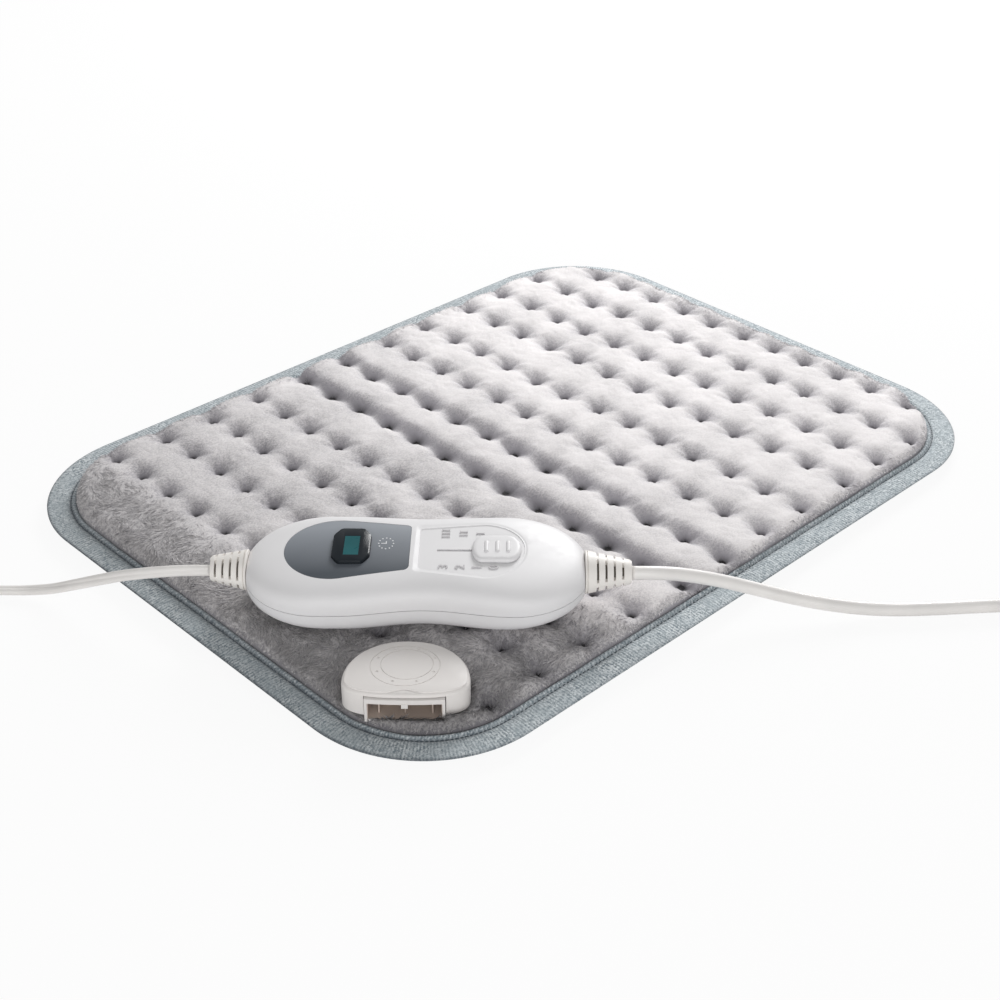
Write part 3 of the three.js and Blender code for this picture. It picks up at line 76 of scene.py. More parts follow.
slider = Sizes(
    y=0.4, travel=22.0, x=33.9, length=21.0, half=9.2, nose=6.0, heel=4.5, height=1.9, pitch=4.6,
    rib=8.4, stem=6.0, stem_width=0.7, slot=1.5,
)
relief = Sizes(
    flange=6.6, flange_thick=2.2, neck=5.2, neck_length=2.0, ribs=4, groove=0.95, deep=2.6,
    ring=0.8, ring_gap=0.4, ring_deep=0.7, spine=2.2,
)
mains_relief = Sizes(
    side=-1, seat=71.7, length=15.6, collar=3.0, pitch=3.25, base=(10.0, 8.4), tip=(6.1, 5.1),
    lift=(0.4, 1.2),
)
pad_relief = Sizes(
    side=1, seat=71.1, length=19.9, collar=4.8, pitch=3.6, base=(11.0, 8.6), tip=(5.6, 5.0),
    lift=(0.4, 0.5),
)
mains_cord = Sizes(width=5.0, thick=3.4, turns=2, layers=4, inner=24.0, rate=7.6, pitch=4.2)
pad_cord = Sizes(width=6.0, thick=6.0, turns=1, layers=2, inner=30.0, rate=8.0, pitch=6.6)
tie = Sizes(thick=0.7)
socket = Sizes(
    x=-161.3, y=-101.5, half=25.6, front=17.4, back=20.8, waist=-6.0, front_power=2.8,
    back_power=2.1, bottom=9.4, height=21.2, slope=0.08, wall=1.4,
)
receptacle = Sizes(half=15.9, depth=15.0, wall=1.1, proud=1.0, bottom=7.3, height=11.3, lip=2.2)
contact = Sizes(pitch=8.0, half=1.5, bottom=14.04, top=15.44)
screw = Sizes(x=53, y=14, hole=1.6, head=2.9, head_deep=3.3)

# Sizes of what only the looks have
tuft = Sizes(
    slack=0.8, width=6.8, deep=2.9, lobe=0.5, pit=2.3, parted=1.7, fold=0.35, fold_reach=9,
)
groove = Sizes(
    width=4.6, deep=3.3, wall=4.2, wall_shift=2.5, row_width=5, row_deep=0.5,
    pull=np.array([0.25] * 4 + [1.0, 0.7] + [0.25] * 6),
)
plush = Sizes(
    step=1.06, give=0.7, swell=0.5, roll=8.0, far_roll=1.6, lowest=5.3, beside=7.4, under=7.0,
    clear=1.16, skirt=3.0,
)
mouth = Sizes(height=8.5, ahead=0.62, behind=1.4, beside=0.9)
shade = Sizes(corner=125, left=-165, right=85, strip=-143, strip_width=26)
fur = Sizes(
    count=130000, edge=13.6, rim=16.5, lie=math.radians(215), length=(2.6, 5.2),
    rim_length=(0.9, 2.0), half_width=(0.26, 0.44), lift=(0.04, 0.22), sunk=0.1,
)
backing = Sizes(step=3.0, low=0.12, dimple=0.75, dimple_width=5, skirt=1.6)
stitch = Sizes(pitch=2.4, length=1.7, radius=0.3, inset=10.5, height=4.65)
marks = Sizes(rise=0.42, digit=5.8, stroke=1.7, thin=0.26, gap=2.4, serif=0.7, row=12.8)
clock = Sizes(
    x=-13.1, y=3.9, radius=3.5, dot=0.34, hub=0.3, hand=0.22, long=2.1, short=1.6, sunk=0.18,
    rise=0.09,
)
window = Sizes(left=-30.7, right=-24.2, near=-6.6, far=7.4, deep=0.25, gap=0.06)
lid = Sizes(inset=1.1, front=-17.4, low=17.0, cusp=3.4, cusp_width=7.0, side=22.0, side_rise=2.2)
dial = Sizes(x=-0.4, y=2.5, radius=12.3, dents=8, dent=0.6, dent_deep=0.18, line=0.32, deep=0.22)
key = Sizes(half=1.3, length=5.0, drop=1.7)


# Camera
class camera:
    """The photograph's camera, fitted to the pad's bound corners."""
    azimuth = math.radians(-44.2346)
    elevation = math.radians(33.0375)
    roll = math.radians(0.3065)
    distance = 803.1
    target = (-27.58, -17.0, 0.0)
    lens = 59.96
    sensor = 36.0


def linked(name, data):
    """An object that shows the data, put in the scene."""
    made = bpy.data.objects.new(name, data)
    bpy.context.scene.collection.objects.link(made)
    return made


def make_camera():
    data = bpy.data.cameras.new("camera")
    data.sensor_fit = "HORIZONTAL"
    data.sensor_width = camera.sensor
    data.lens = camera.lens
    data.clip_start = 10 * MM
    data.clip_end = 20
    level = math.cos(camera.elevation)
    back = Vector((
        math.sin(camera.azimuth) * level, -math.cos(camera.azimuth) * level,
        math.sin(camera.elevation),
    ))
    flat_right = (-back).cross(Vector((0, 0, 1))).normalized()
    flat_up = flat_right.cross(-back)
    c, s = math.cos(camera.roll), math.sin(camera.roll)
    right = c * flat_right + s * flat_up
    up = c * flat_up - s * flat_right
    turn = Matrix((right, up, back)).transposed().to_4x4()
    place = (Vector(camera.target) + back * camera.distance) * MM
    shown = linked("camera", data)
    shown.matrix_world = Matrix.Translation(place) @ turn
    bpy.context.scene.camera = shown


# Courses of the leads
def lead_point(p):
    """A lead's point, given along and across the handset, in the pad's frame."""
    c, s = math.cos(handset.yaw), math.sin(handset.yaw)
    return np.array([handset.x + c * p[0] - s * p[1], handset.y + s * p[0] + c * p[1], p[2]])


# First stretches of the leads: along the handset, across it, and above the floor
MAINS_ROUTE = [
    (-87.9, 0, 24.7), (-97, 0.1, 24.5), (-106, 1.3, 23.2), (-116, 3.6, 20.6), (-127, 6.4, 17.2),
    (-139, 9.2, 12.8), (-151, 11.8, 8.2), (-162, 13.6, 4.6), (-174, 14.9, 2.7),
    (-186, 15.4, 2.2), (-199, 15.2, 2.3), (-211, 14.6, 2.6), (-220, 14.5, 2.7),
]
PAD_ROUTE = [
    (91.6, 0, 24.7), (101, 0, 24.7), (110, 1.6, 23.2), (121, 4.2, 19.8), (133, 6, 16),
    (146, 6, 12.4), (160, 4.6, 9.4), (175, 3.4, 6.8), (190, 3, 4.8), (206, 3.4, 3.6),
    (224, 4.6, 3.3), (242, 6.2, 3.3), (260, 7.6, 3.4), (274, 8, 3.8), (284, 8, 4),
]
mains_coil = Sizes(turn=(-227.0, 14.5), side=-1, tail=34.0, plug_z=6.9)
pad_coil = Sizes(turn=(292.0, 8.0), side=1, tail=30.0, plug_z=6.4)


def smooth_route(points, step=1.5):
    """Centripetal Catmull-Rom curve through the points, sampled about every step."""
    p = [np.array(q, float) for q in points]
    p = [2 * p[0] - p[1], *p, 2 * p[-1] - p[-2]]
    out = []
    for a, b, c, d in zip(p, p[1:], p[2:], p[3:]):
        da, db, dc = (max(np.linalg.norm(n - m) ** 0.5, 1e-6) for m, n in ((a, b), (b, c), (c, d)))
        leave = ((b - a) / da - (c - a) / (da + db) + (c - b) / db) * db
        arrive = ((c - b) / db - (d - b) / (db + dc) + (d - c) / dc) * db
        count = max(int(np.linalg.norm(c - b) / step), 2)
        for k in range(count):
            t = k / count
            out.append(
                (2 * t**3 - 3 * t**2 + 1) * b + (t**3 - 2 * t**2 + t) * leave
                + (3 * t**2 - 2 * t**3) * c + (t**3 - t**2) * arrive
            )
    out.append(p[-2])
    return out


def eased(t):
    """0 to 1 as t goes from 0 to 1, level at both ends."""
    t = np.clip(t, 0.0, 1.0)
    return t * t * (3 - 2 * t)


def bell(distance, width, power=2.0):
    """1 at no distance, falling softly to 0 over about the width."""
    return np.exp(-(distance / width) ** power)


def coil_radius(cord, turn):
    """Loops of a layer lie side by side, and the layers wind outward and inward in turns."""
    nearest = min(max(round(turn / cord.turns), 1), cord.layers - 1)
    moved = max(abs(turn - nearest * cord.turns) - 0.25, 0)
    outer = cord.inner + cord.rate * (cord.turns - 0.5)
    return cord.inner + cord.rate * moved if nearest % 2 else outer - cord.rate * moved


def coil_layer(cord, turn):
    """Number of the layer, with a climb of half a loop between one layer and the next."""
    nearest = min(max(round(turn / cord.turns), 1), cord.layers - 1)
    return nearest - 1 + eased((turn - nearest * cord.turns + 0.25) * 2)


def coil_points(cord, coil, steps=48):
    """Loops that wind in and out, layer on layer, then a tail that comes down to the plug."""
    x, y = coil.turn
    first = coil_radius(cord, 0)
    lowest = tie.thick + 0.3 + cord.thick / 2
    out = []
    for i in range(cord.turns * cord.layers * steps + 1):
        turn = i / steps
        radius = coil_radius(cord, turn)
        out.append(np.array([
            x + coil.side * radius * math.sin(2 * math.pi * turn),
            y - first + radius * math.cos(2 * math.pi * turn),
            lowest + coil_layer(cord, turn) * cord.pitch,
        ]))
    top = out[-1]
    level = 3.4 * cord.width
    for i in range(1, 13):
        share = i / 12
        z = top[2] + (coil.plug_z - top[2]) * eased(share)
        out.append(np.array([top[0] + coil.side * (level + share * coil.tail), top[1], z]))
    out.append(out[-1] + np.array([coil.side * cord.width, 0, 0]))
    return out


# Meshes
def mesh_piece(name, points, faces):
    """A piece from points in millimetres, its faces turned outward."""
    mesh = bpy.data.meshes.new(name)
    mesh.from_pydata((np.asarray(points, float) * MM).tolist(), [], faces)
    work = bmesh.new()
    work.from_mesh(mesh)
    bmesh.ops.recalc_face_normals(work, faces=work.faces)
    work.to_mesh(mesh)
    work.free()
    return shaded(linked(name, mesh))


def shaded(piece, sharp=None):
    """Smooth all over, but for edges that turn by more than sharp degrees."""
    piece.data.shade_smooth()
    if sharp:
        piece.data.set_sharp_from_angle(angle=math.radians(sharp))
    return piece


def loft(rings, looped=False):
    """Points and faces of a skin over rings of equally many points, closed at its ends."""
    size = len(rings[0])
    points = [p for ring in rings for p in ring]
    faces = []
    last = len(rings) if looped else len(rings) - 1
    for r in range(last):
        low, high = r * size, ((r + 1) % len(rings)) * size
        for i in range(size):
            j = (i + 1) % size
            faces.append((low + i, low + j, high + j, high + i))
    if not looped:
        faces.append(tuple(range(size))[::-1])
        faces.append(tuple(range((len(rings) - 1) * size, len(rings) * size)))
    return points, faces


def lofted(name, rings, looped=False):
    return mesh_piece(name, *loft(rings, looped))


def ring_at(outline, z, scale=1.0):
    return [(x * scale, y * scale, z) for x, y in outline]


def prism(outline, bottom, top, name="tool"):
    return lofted(name, [ring_at(outline, bottom), ring_at(outline, top)])


def block(x0, x1, y0, y1, z0, z1, name="tool"):
    return prism([(x0, y0), (x1, y0), (x1, y1), (x0, y1)], z0, z1, name)


def arc(x, y, reach_x, reach_y, start, stop, steps):
    """Points of an oval arc round x, y, with both its ends."""
    turns = [start + (stop - start) * i / steps for i in range(steps + 1)]
    return [(x + reach_x * math.cos(t), y + reach_y * math.sin(t)) for t in turns]


def half_turn(x, y, reach_x, reach_y, steps=32):
    return arc(x, y, reach_x, reach_y, -math.pi / 2, math.pi / 2, steps)


def circle(x, y, radius, steps=32):
    return arc(x, y, radius, radius, 0, 2 * math.pi, steps)[:-1]


def rod_x(x0, x1, radius, steps=48):
    return lofted("tool", [[(x, y, z) for y, z in circle(0, 0, radius, steps)] for x in (x0, x1)])


def changed(piece, operation, *tools):
    """Joins, cuts or intersects a piece with tools, which are used up."""
    for tool in tools:
        step = piece.modifiers.new(operation, "BOOLEAN")
        step.operation = operation
        step.solver = "MANIFOLD"
        step.object = tool
    bpy.context.view_layer.update()
    shown = piece.evaluated_get(bpy.context.evaluated_depsgraph_get())
    old = piece.data
    made = bpy.data.meshes.new_from_object(shown)
    piece.modifiers.clear()
    piece.data = made
    bpy.data.meshes.remove(old)
    for tool in tools:
        bpy.data.objects.remove(tool)
    return piece


def weld(piece, reach=1e-6):
    """Joins the doubled corners of a node's mesh, so that it can be cut as one closed body."""
    work = bmesh.new()
    work.from_mesh(piece.data)
    bmesh.ops.remove_doubles(work, verts=work.verts, dist=reach)
    work.to_mesh(piece.data)
    work.free()
    return piece


def cut(piece, *tools):
    return changed(piece, "DIFFERENCE", *tools)


def joined(piece, *tools):
    return changed(piece, "UNION", *tools)


def within(piece, *tools):
    return changed(piece, "INTERSECT", *tools)


def in_frame(piece, x, y, z, yaw):
    """Takes a mesh from a piece's own frame to the pad's."""
    place = Matrix.Translation(Vector((x, y, z)) * MM) @ Matrix.Rotation(yaw, 4, "Z")
    piece.data.transform(place)
    piece.data.update()
    return piece


def on_handset(piece, sharp=30):
    """Takes a finished piece of the handset to its place on the pad."""
    return shaded(in_frame(piece, handset.x, handset.y, handset.z, handset.yaw), sharp)


def on_socket(piece, sharp=30):
    """Takes a finished piece of the socket to its place on the pad."""
    return shaded(in_frame(piece, socket.x, socket.y, 0, handset.yaw), sharp)


def settle(piece, look, body="pad", replaced=()):
    """Gives a piece its material and the body that it rides on, and hides the nodes it stands for."""
    piece.data.materials.clear()
    piece.data.materials.append(looks[look])
    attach(piece, body)
    if replaced:
        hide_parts(*replaced)


def sweep(path, section, rolls):
    """Rings of a cord whose section's first axis is level, but for a roll given point by point."""
    rings = []
    for i, (point, roll) in enumerate(zip(path, rolls)):
        ahead = path[min(i + 1, len(path) - 1)] - path[max(i - 1, 0)]
        ahead = ahead / np.linalg.norm(ahead)
        across = np.array([-ahead[1], ahead[0], 0])
        across = across / np.linalg.norm(across)
        upward = np.cross(ahead, across)
        c, s = math.cos(roll), math.sin(roll)
        across, upward = c * across + s * upward, c * upward - s * across
        rings.append([point + a * across + b * upward for a, b in section])
    return rings


def path_runs(path):
    """Length run along a path up to each of its points."""
    return np.cumsum([0.0] + [np.linalg.norm(b - a) for a, b in zip(path, path[1:])])


def smooth_noise(x, y, cell, seed):
    """Random heights from -1 to 1 whose bumps are about one cell wide."""
    size = 512
    grid = np.random.default_rng(seed).uniform(-1, 1, (size, size))
    u, v = x / cell, y / cell
    i, j = np.floor(u).astype(int), np.floor(v).astype(int)
    fu, fv = eased(u - i), eased(v - j)
    near = grid[i % size, j % size] * (1 - fu) + grid[(i + 1) % size, j % size] * fu
    far = grid[i % size, (j + 1) % size] * (1 - fu) + grid[(i + 1) % size, (j + 1) % size] * fu
    return near * (1 - fv) + far * fv


# Materials
def colour(red, green, blue):
    """A colour written as it is seen, from 0 to 255, turned to Blender's linear values."""
    shares = [c / 255 for c in (red, green, blue)]
    linear = [s / 12.92 if s <= 0.04045 else ((s + 0.055) / 1.055) ** 2.4 for s in shares]
    return (*linear, 1.0)


looks = {}


def feed(tree, socket_in, value):
    """Links an input to a node's output, or sets it to a plain value."""
    if isinstance(value, bpy.types.NodeSocket):
        tree.links.new(value, socket_in)
    else:
        socket_in.default_value = value


class Look:
    """A material in the making. Each call adds a node and returns its output."""

    def __init__(self, name, base, roughness, **sockets):
        looks[name] = bpy.data.materials.new(name)
        looks[name].use_nodes = True
        self.tree = looks[name].node_tree
        self.shader = self.tree.nodes["Principled BSDF"]
        self.set("Base Color", base)
        self.set("Roughness", roughness)
        for socket_name, value in sockets.items():
            self.set(socket_name.replace("_", " "), value)

    def set(self, socket_name, value):
        feed(self.tree, self.shader.inputs[socket_name], value)

    def node(self, kind, inputs, **settings):
        made = self.tree.nodes.new(kind)
        for key, value in settings.items():
            setattr(made, key, value)
        for key, value in inputs.items():
            feed(self.tree, made.inputs[key], value)
        return made

    def place(self, stretch=(1, 1, 1), turn=0.0, attribute=None):
        if attribute:
            source = self.node("ShaderNodeAttribute", {}, attribute_name=attribute).outputs["Vector"]
        else:
            source = self.node("ShaderNodeTexCoord", {}).outputs["Object"]
        inputs = {"Vector": source, "Scale": stretch, "Rotation": (0, 0, turn)}
        return self.node("ShaderNodeMapping", inputs).outputs["Vector"]

    def noise(self, scale, detail=2.0, rough=0.5, stretch=(1, 1, 1), turn=0.0, twist=0.0):
        inputs = {
            "Vector": self.place(stretch, turn), "Scale": scale, "Detail": detail,
            "Roughness": rough, "Distortion": twist,
        }
        return self.node("ShaderNodeTexNoise", inputs).outputs["Fac"]

    def bands(self, place, scale, direction, twist, detail):
        inputs = {"Vector": place, "Scale": scale, "Distortion": twist, "Detail": detail}
        made = self.node(
            "ShaderNodeTexWave", inputs, wave_type="BANDS", bands_direction=direction,
        )
        return made.outputs["Fac"]

    def value(self, name):
        return self.node("ShaderNodeAttribute", {}, attribute_name=name).outputs["Fac"]

    def math(self, operation, a, b):
        return self.node("ShaderNodeMath", {0: a, 1: b}, operation=operation).outputs[0]

    def span(self, value, low, high, to_low=0.0, to_high=1.0):
        inputs = {
            "Value": value, "From Min": low, "From Max": high, "To Min": to_low, "To Max": to_high,
        }
        return self.node("ShaderNodeMapRange", inputs, clamp=True).outputs["Result"]

    def mix(self, share, first, second):
        inputs = {"Factor": share, 6: first, 7: second}
        return self.node("ShaderNodeMix", inputs, data_type="RGBA").outputs[2]

    def scaled(self, tint, share):
        inputs = {0: tint, "Scale": share}
        return self.node("ShaderNodeVectorMath", inputs, operation="SCALE").outputs["Vector"]

    def clouded(self, base, scale, share):
        """The base colour with soft clouds in it, which have a share of its light."""
        dark = tuple(c * share for c in base[:3]) + (1.0,)
        return self.mix(self.span(self.noise(scale, 3), 0.35, 0.7), dark, base)

    def bump(self, height, strength, depth):
        inputs = {"Height": height, "Strength": strength, "Distance": depth * MM}
        self.set("Normal", self.node("ShaderNodeBump", inputs).outputs["Normal"])


def moulded(name, rgb, roughness, cloud=0.05, grain=0.03, **sockets):
    """Moulded plastic: faint clouds in colour and gloss, and a very fine grain."""
    base = colour(*rgb)
    look = Look(name, base, roughness, **sockets)
    look.set("Base Color", look.clouded(base, 45, 1 - 2 * cloud))
    gloss = look.noise(260, 2)
    look.set("Roughness", look.span(gloss, 0.3, 0.7, roughness - 0.04, roughness + 0.05))
    look.bump(look.noise(2600, 2), 0.25, grain)


def metal(name, rgb, roughness):
    """Drawn or plated metal with fine lines along it."""
    base = colour(*rgb)
    look = Look(name, base, roughness, Metallic=1.0)
    lines = look.noise(900, 2, stretch=(1, 12, 12))
    look.set("Roughness", look.span(lines, 0.3, 0.7, roughness - 0.06, roughness + 0.12))
    look.set("Base Color", look.clouded(base, 60, 0.82))
    look.bump(lines, 0.2, 0.02)


def felted(name, rgb, dark, scale=900, depth=0.25):
    """Matted fibre, for backing, wadding and ties."""
    base = colour(*rgb)
    look = Look(name, base, 0.95, Sheen_Weight=0.3, Sheen_Roughness=0.6)
    fibres = look.noise(scale, 3, 0.65, stretch=(1, 2.4, 1), twist=1.5)
    clouds = look.noise(70, 3)
    share = look.math("ADD", look.span(fibres, 0.3, 0.7, 0, 0.7), look.span(clouds, 0.3, 0.7, 0, 0.3))
    look.set("Base Color", look.mix(share, colour(*dark), base))
    look.bump(fibres, 0.6, depth)


def plush_look():
    """Short pile: pale and even on the pillows and flecked where it parts round a tuft, with painted
    shade in the tufts, on the groove walls and along the edge, and painted light and shade across the
    pad.
    """
    light, shaded_light, deep = colour(244, 240, 240), colour(172, 169, 175), colour(34, 31, 34)
    look = Look("plush", light, 0.9, Sheen_Weight=0.25, Sheen_Roughness=0.5)
    pile_open_and_shade, tone, painted_light = look.value("pile_open_and_shade"), look.value("tone"), look.value("painted_light")
    hairs = look.noise(420, 3, 0.6, stretch=(1, 3.0, 1), turn=math.radians(50), twist=1.2)
    flecks = look.noise(1050, 1, 0.6, twist=0.5)
    parted = look.span(pile_open_and_shade, 0.6, 1.0, 0.75, 0.0)
    parted = look.math("ADD", parted, look.span(painted_light, 0.78, 1.0, 0.4, 0.06))
    specks = look.math("MULTIPLY", look.span(flecks, 0.56, 0.40), parted)
    streaks = look.math("MULTIPLY", look.span(hairs, 0.55, 0.40, 0.0, 0.6), parted)
    dark = look.math("ADD", look.math("MAXIMUM", specks, streaks), look.math("SUBTRACT", 0.35, tone))
    fibre = look.mix(look.math("MAXIMUM", dark, 0.0), light, shaded_light)
    # Painted shade: toward the tufts and the groove walls the colour goes to the shaded tone, and in
    # each tuft's hole nearly to black.
    hollow = look.mix(look.span(pile_open_and_shade, 0.5, 0.96), shaded_light, fibre)
    body = look.mix(look.span(pile_open_and_shade, 0.1, 0.5), deep, hollow)
    # Painted light and shade across the pad: the colour is scaled darker toward the socket's corner and
    # paler toward the right.
    look.set("Base Color", look.scaled(body, painted_light))
    look.bump(look.math("ADD", hairs, look.math("MULTIPLY", flecks, 0.7)), 0.5, 0.6)


def tape_look():
    """Ribbed woven tape, its ribs across the edge it binds, with painted shade along the sewn grooves
    and folds, and painted light that differs from side to side.
    """
    base, dark, light = colour(156, 166, 171), colour(100, 113, 121), colour(208, 213, 215)
    look = Look("binding_tape", base, 0.9, Sheen_Weight=0.2, Sheen_Roughness=0.5)
    weave = look.place(attribute="weave")
    ribs = look.bands(weave, 0.21, "X", twist=2.5, detail=2.0)
    strands = look.bands(weave, 0.24, "DIAGONAL", twist=1.0, detail=2.0)
    threads = look.noise(850, 3, 0.7, twist=1.0)
    blotches = look.noise(110, 4, 0.6)
    woven = look.math("ADD", look.math("MULTIPLY", ribs, 0.1), look.math("MULTIPLY", threads, 0.9))
    body = look.mix(look.span(woven, 0.40, 0.60), dark, light)
    cloth = look.mix(look.span(blotches, 0.35, 0.68, 0.45, 1.0), base, body)
    twisted = look.math("MULTIPLY", look.span(strands, 0.75, 0.2, 0.0, 0.35), look.value("ridge"))
    cloth = look.mix(twisted, cloth, colour(70, 82, 92))
    # Painted shade in the creases: the sewn grooves and the folds of the tape turn dark grey-blue.
    painted_crease_shade = look.math("MULTIPLY", look.value("painted_crease_shade"), look.span(threads, 0.3, 0.6, 1.0, 0.75))
    # Painted light: the tape's colour is scaled by its side's painted light.
    lit = look.scaled(cloth, look.value("painted_light"))
    look.set("Base Color", look.mix(painted_crease_shade, lit, colour(52, 60, 70)))
    look.bump(woven, 0.9, 0.5)


def label_look():
    """Printed sheet: dark grey, with painted light that pales it toward the far side, where it faces
    the sky.
    """
    near, far = colour(76, 82, 89), colour(150, 155, 162)
    look = Look("grey_label", near, 0.42, Specular_IOR_Level=0.25)
    place = look.node("ShaderNodeSeparateXYZ", {"Vector": look.place()}).outputs
    s, c = math.sin(handset.yaw), math.cos(handset.yaw)
    along_y = look.math("MULTIPLY", place["Y"], c)
    across = look.math("SUBTRACT", along_y, look.math("MULTIPLY", place["X"], s))
    clouds = look.math("MULTIPLY", look.noise(45, 3), 4 * MM)
    middle = (c * handset.y - s * handset.x + 2) * MM
    reach = panel.half * MM
    # Painted light: the grey pales from the near side to the far side.
    share = look.span(look.math("ADD", across, clouds), middle - reach, middle + reach)
    look.set("Base Color", look.mix(share, near, far))
    look.bump(look.noise(2600, 2), 0.25, 0.02)


def make_looks():
    """Makes each material once, and dresses the nodes that no piece stands for."""
    plush_look()
    tape_look()
    label_look()
    felted("lining", (196, 192, 193), (150, 146, 149))
    felted("wadding", (240, 238, 233), (208, 206, 200), 500, 0.5)
    felted("tie_grey", (140, 144, 147), (96, 100, 104), 1400, 0.2)
    felted("seam_thread", (74, 86, 95), (48, 58, 66), 1800, 0.1)
    metal("steel", (206, 208, 210), 0.24)
    metal("brass", (214, 178, 104), 0.26)
    moulded("white_shell", (233, 232, 233), 0.42, 0.01, 0.0, Specular_IOR_Level=0.22)
    moulded("socket_white", (230, 226, 223), 0.42, 0.01, 0.0, Specular_IOR_Level=0.22)
    # Painted shade: the raised marks are the shell's white plastic, made grey so that they stand out.
    moulded("marks", (198, 196, 198), 0.45, 0.01, 0.0)
    moulded("print_white", (236, 238, 240), 0.4)
    moulded("ivory", (246, 242, 237), 0.48, 0.04, 0.05)
    # Painted shade: the dark core inside the relief stands in for the shadow in its slits.
    moulded("relief_core_painted_shade", (112, 106, 99), 0.6, 0.08)
    moulded("cord_white", (240, 237, 234), 0.42, 0.05, 0.05, Coat_Weight=0.12)
    moulded("taupe", (214, 199, 188), 0.5, 0.08)
    moulded("dark_lens", (36, 41, 46), 0.16, 0.02, 0.0, Specular_IOR_Level=0.12)
    moulded("teal_screen", (38, 98, 103), 0.3, 0.1, 0.0, Specular_IOR_Level=0.1)
    moulded("heat_wire", (217, 205, 184), 0.5)
    moulded("board_green", (47, 107, 69), 0.45, 0.1)
    moulded("black_plastic", (38, 40, 42), 0.5, 0.1)
    moulded("blue_film", (63, 111, 168), 0.4, 0.1)
    moulded("glass", (207, 216, 218), 0.08, 0.02, 0.0, Coat_Weight=0.8)
    for part in frame["record"]["subparts"]:
        shape = nodes[part["node"]].data
        shape.materials.clear()
        shape.materials.append(looks[part["material_slot"]])


# Pad
def outline_inset(x, y):
    """How far a point lies inside the pad's rounded outline."""
    dx = np.abs(x) - (pad.length / 2 - pad.corner)
    dy = np.abs(y) - (pad.width / 2 - pad.corner)
    corner = np.hypot(np.maximum(dx, 0), np.maximum(dy, 0))
    return pad.corner - corner - np.minimum(np.maximum(dx, dy), 0)


def pad_outline(step=1.2):
    """Points of the pad's outline, with their outward directions and the length run so far."""
    places, outward = [], []
    straight = np.array([pad.length / 2 - pad.corner, pad.width / 2 - pad.corner])
    arc_steps = round(math.pi / 2 * pad.corner / step)

    def outward_at(quarters):
        turn = quarters * math.pi / 2
        return np.array([math.cos(turn), math.sin(turn)])

    for quarter, side in enumerate(((1, 1), (-1, 1), (-1, -1), (1, -1))):
        middle = straight * side
        for i in range(arc_steps):
            out = outward_at(quarter + i / arc_steps)
            places.append(middle + pad.corner * out)
            outward.append(out)
        span = 2 * straight[quarter % 2]
        out = outward_at(quarter + 1)
        ahead = np.array([-out[1], out[0]])
        for i in range(round(span / step)):
            places.append(middle + pad.corner * out + ahead * span * i / round(span / step))
            outward.append(out)
    return np.array(places), np.array(outward), path_runs(places)


def socket_outline(inset=0.0, steps=160):
    """The housing's outline, drawn in by an inset, in the socket's own frame."""
    points = []
    for c, s in circle(0, 0, 1, steps):
        power = 2 / (socket.back_power if s >= 0 else socket.front_power)
        reach = socket.back - socket.waist if s >= 0 else socket.front + socket.waist
        x = math.copysign(abs(c) ** power, c)
        y = math.copysign(abs(s) ** power, s)
        points.append((x * (socket.half - inset), socket.waist + y * (reach - inset)))
    return points


def socket_place(x, y):
    """A point of the pad, seen from the middle of the socket along its own axes."""
    c, s = math.cos(handset.yaw), math.sin(handset.yaw)
    return c * (x - socket.x) + s * (y - socket.y), -s * (x - socket.x) + c * (y - socket.y)


def socket_share(x, y):
    """0 at the middle of the socket housing, 1 on its outline, more outside."""
    u, v = socket_place(x, y)
    v = v - socket.waist
    reach = np.where(v >= 0, socket.back - socket.waist, socket.front + socket.waist)
    power = np.where(v >= 0, socket.back_power, socket.front_power)
    inner = np.abs(u / socket.half) ** power + np.abs(v / reach) ** power
    return inner ** (1 / power)


def tuft_grid(x, y):
    """Offsets in millimetres from a point to the nearest tuft, and that tuft's column and row."""
    i = (x - quilt.first_x + quilt.lean * y) / quilt.pitch_x
    j = y / quilt.pitch_y + (quilt.rows - 1) / 2
    column = np.clip(np.round(i), 0, quilt.columns - 1)
    row = np.clip(np.round(j), 0, quilt.rows - 1)
    dx = (i - column) * quilt.pitch_x - quilt.drift[column.astype(int)]
    return dx, (j - row) * quilt.pitch_y, column, row


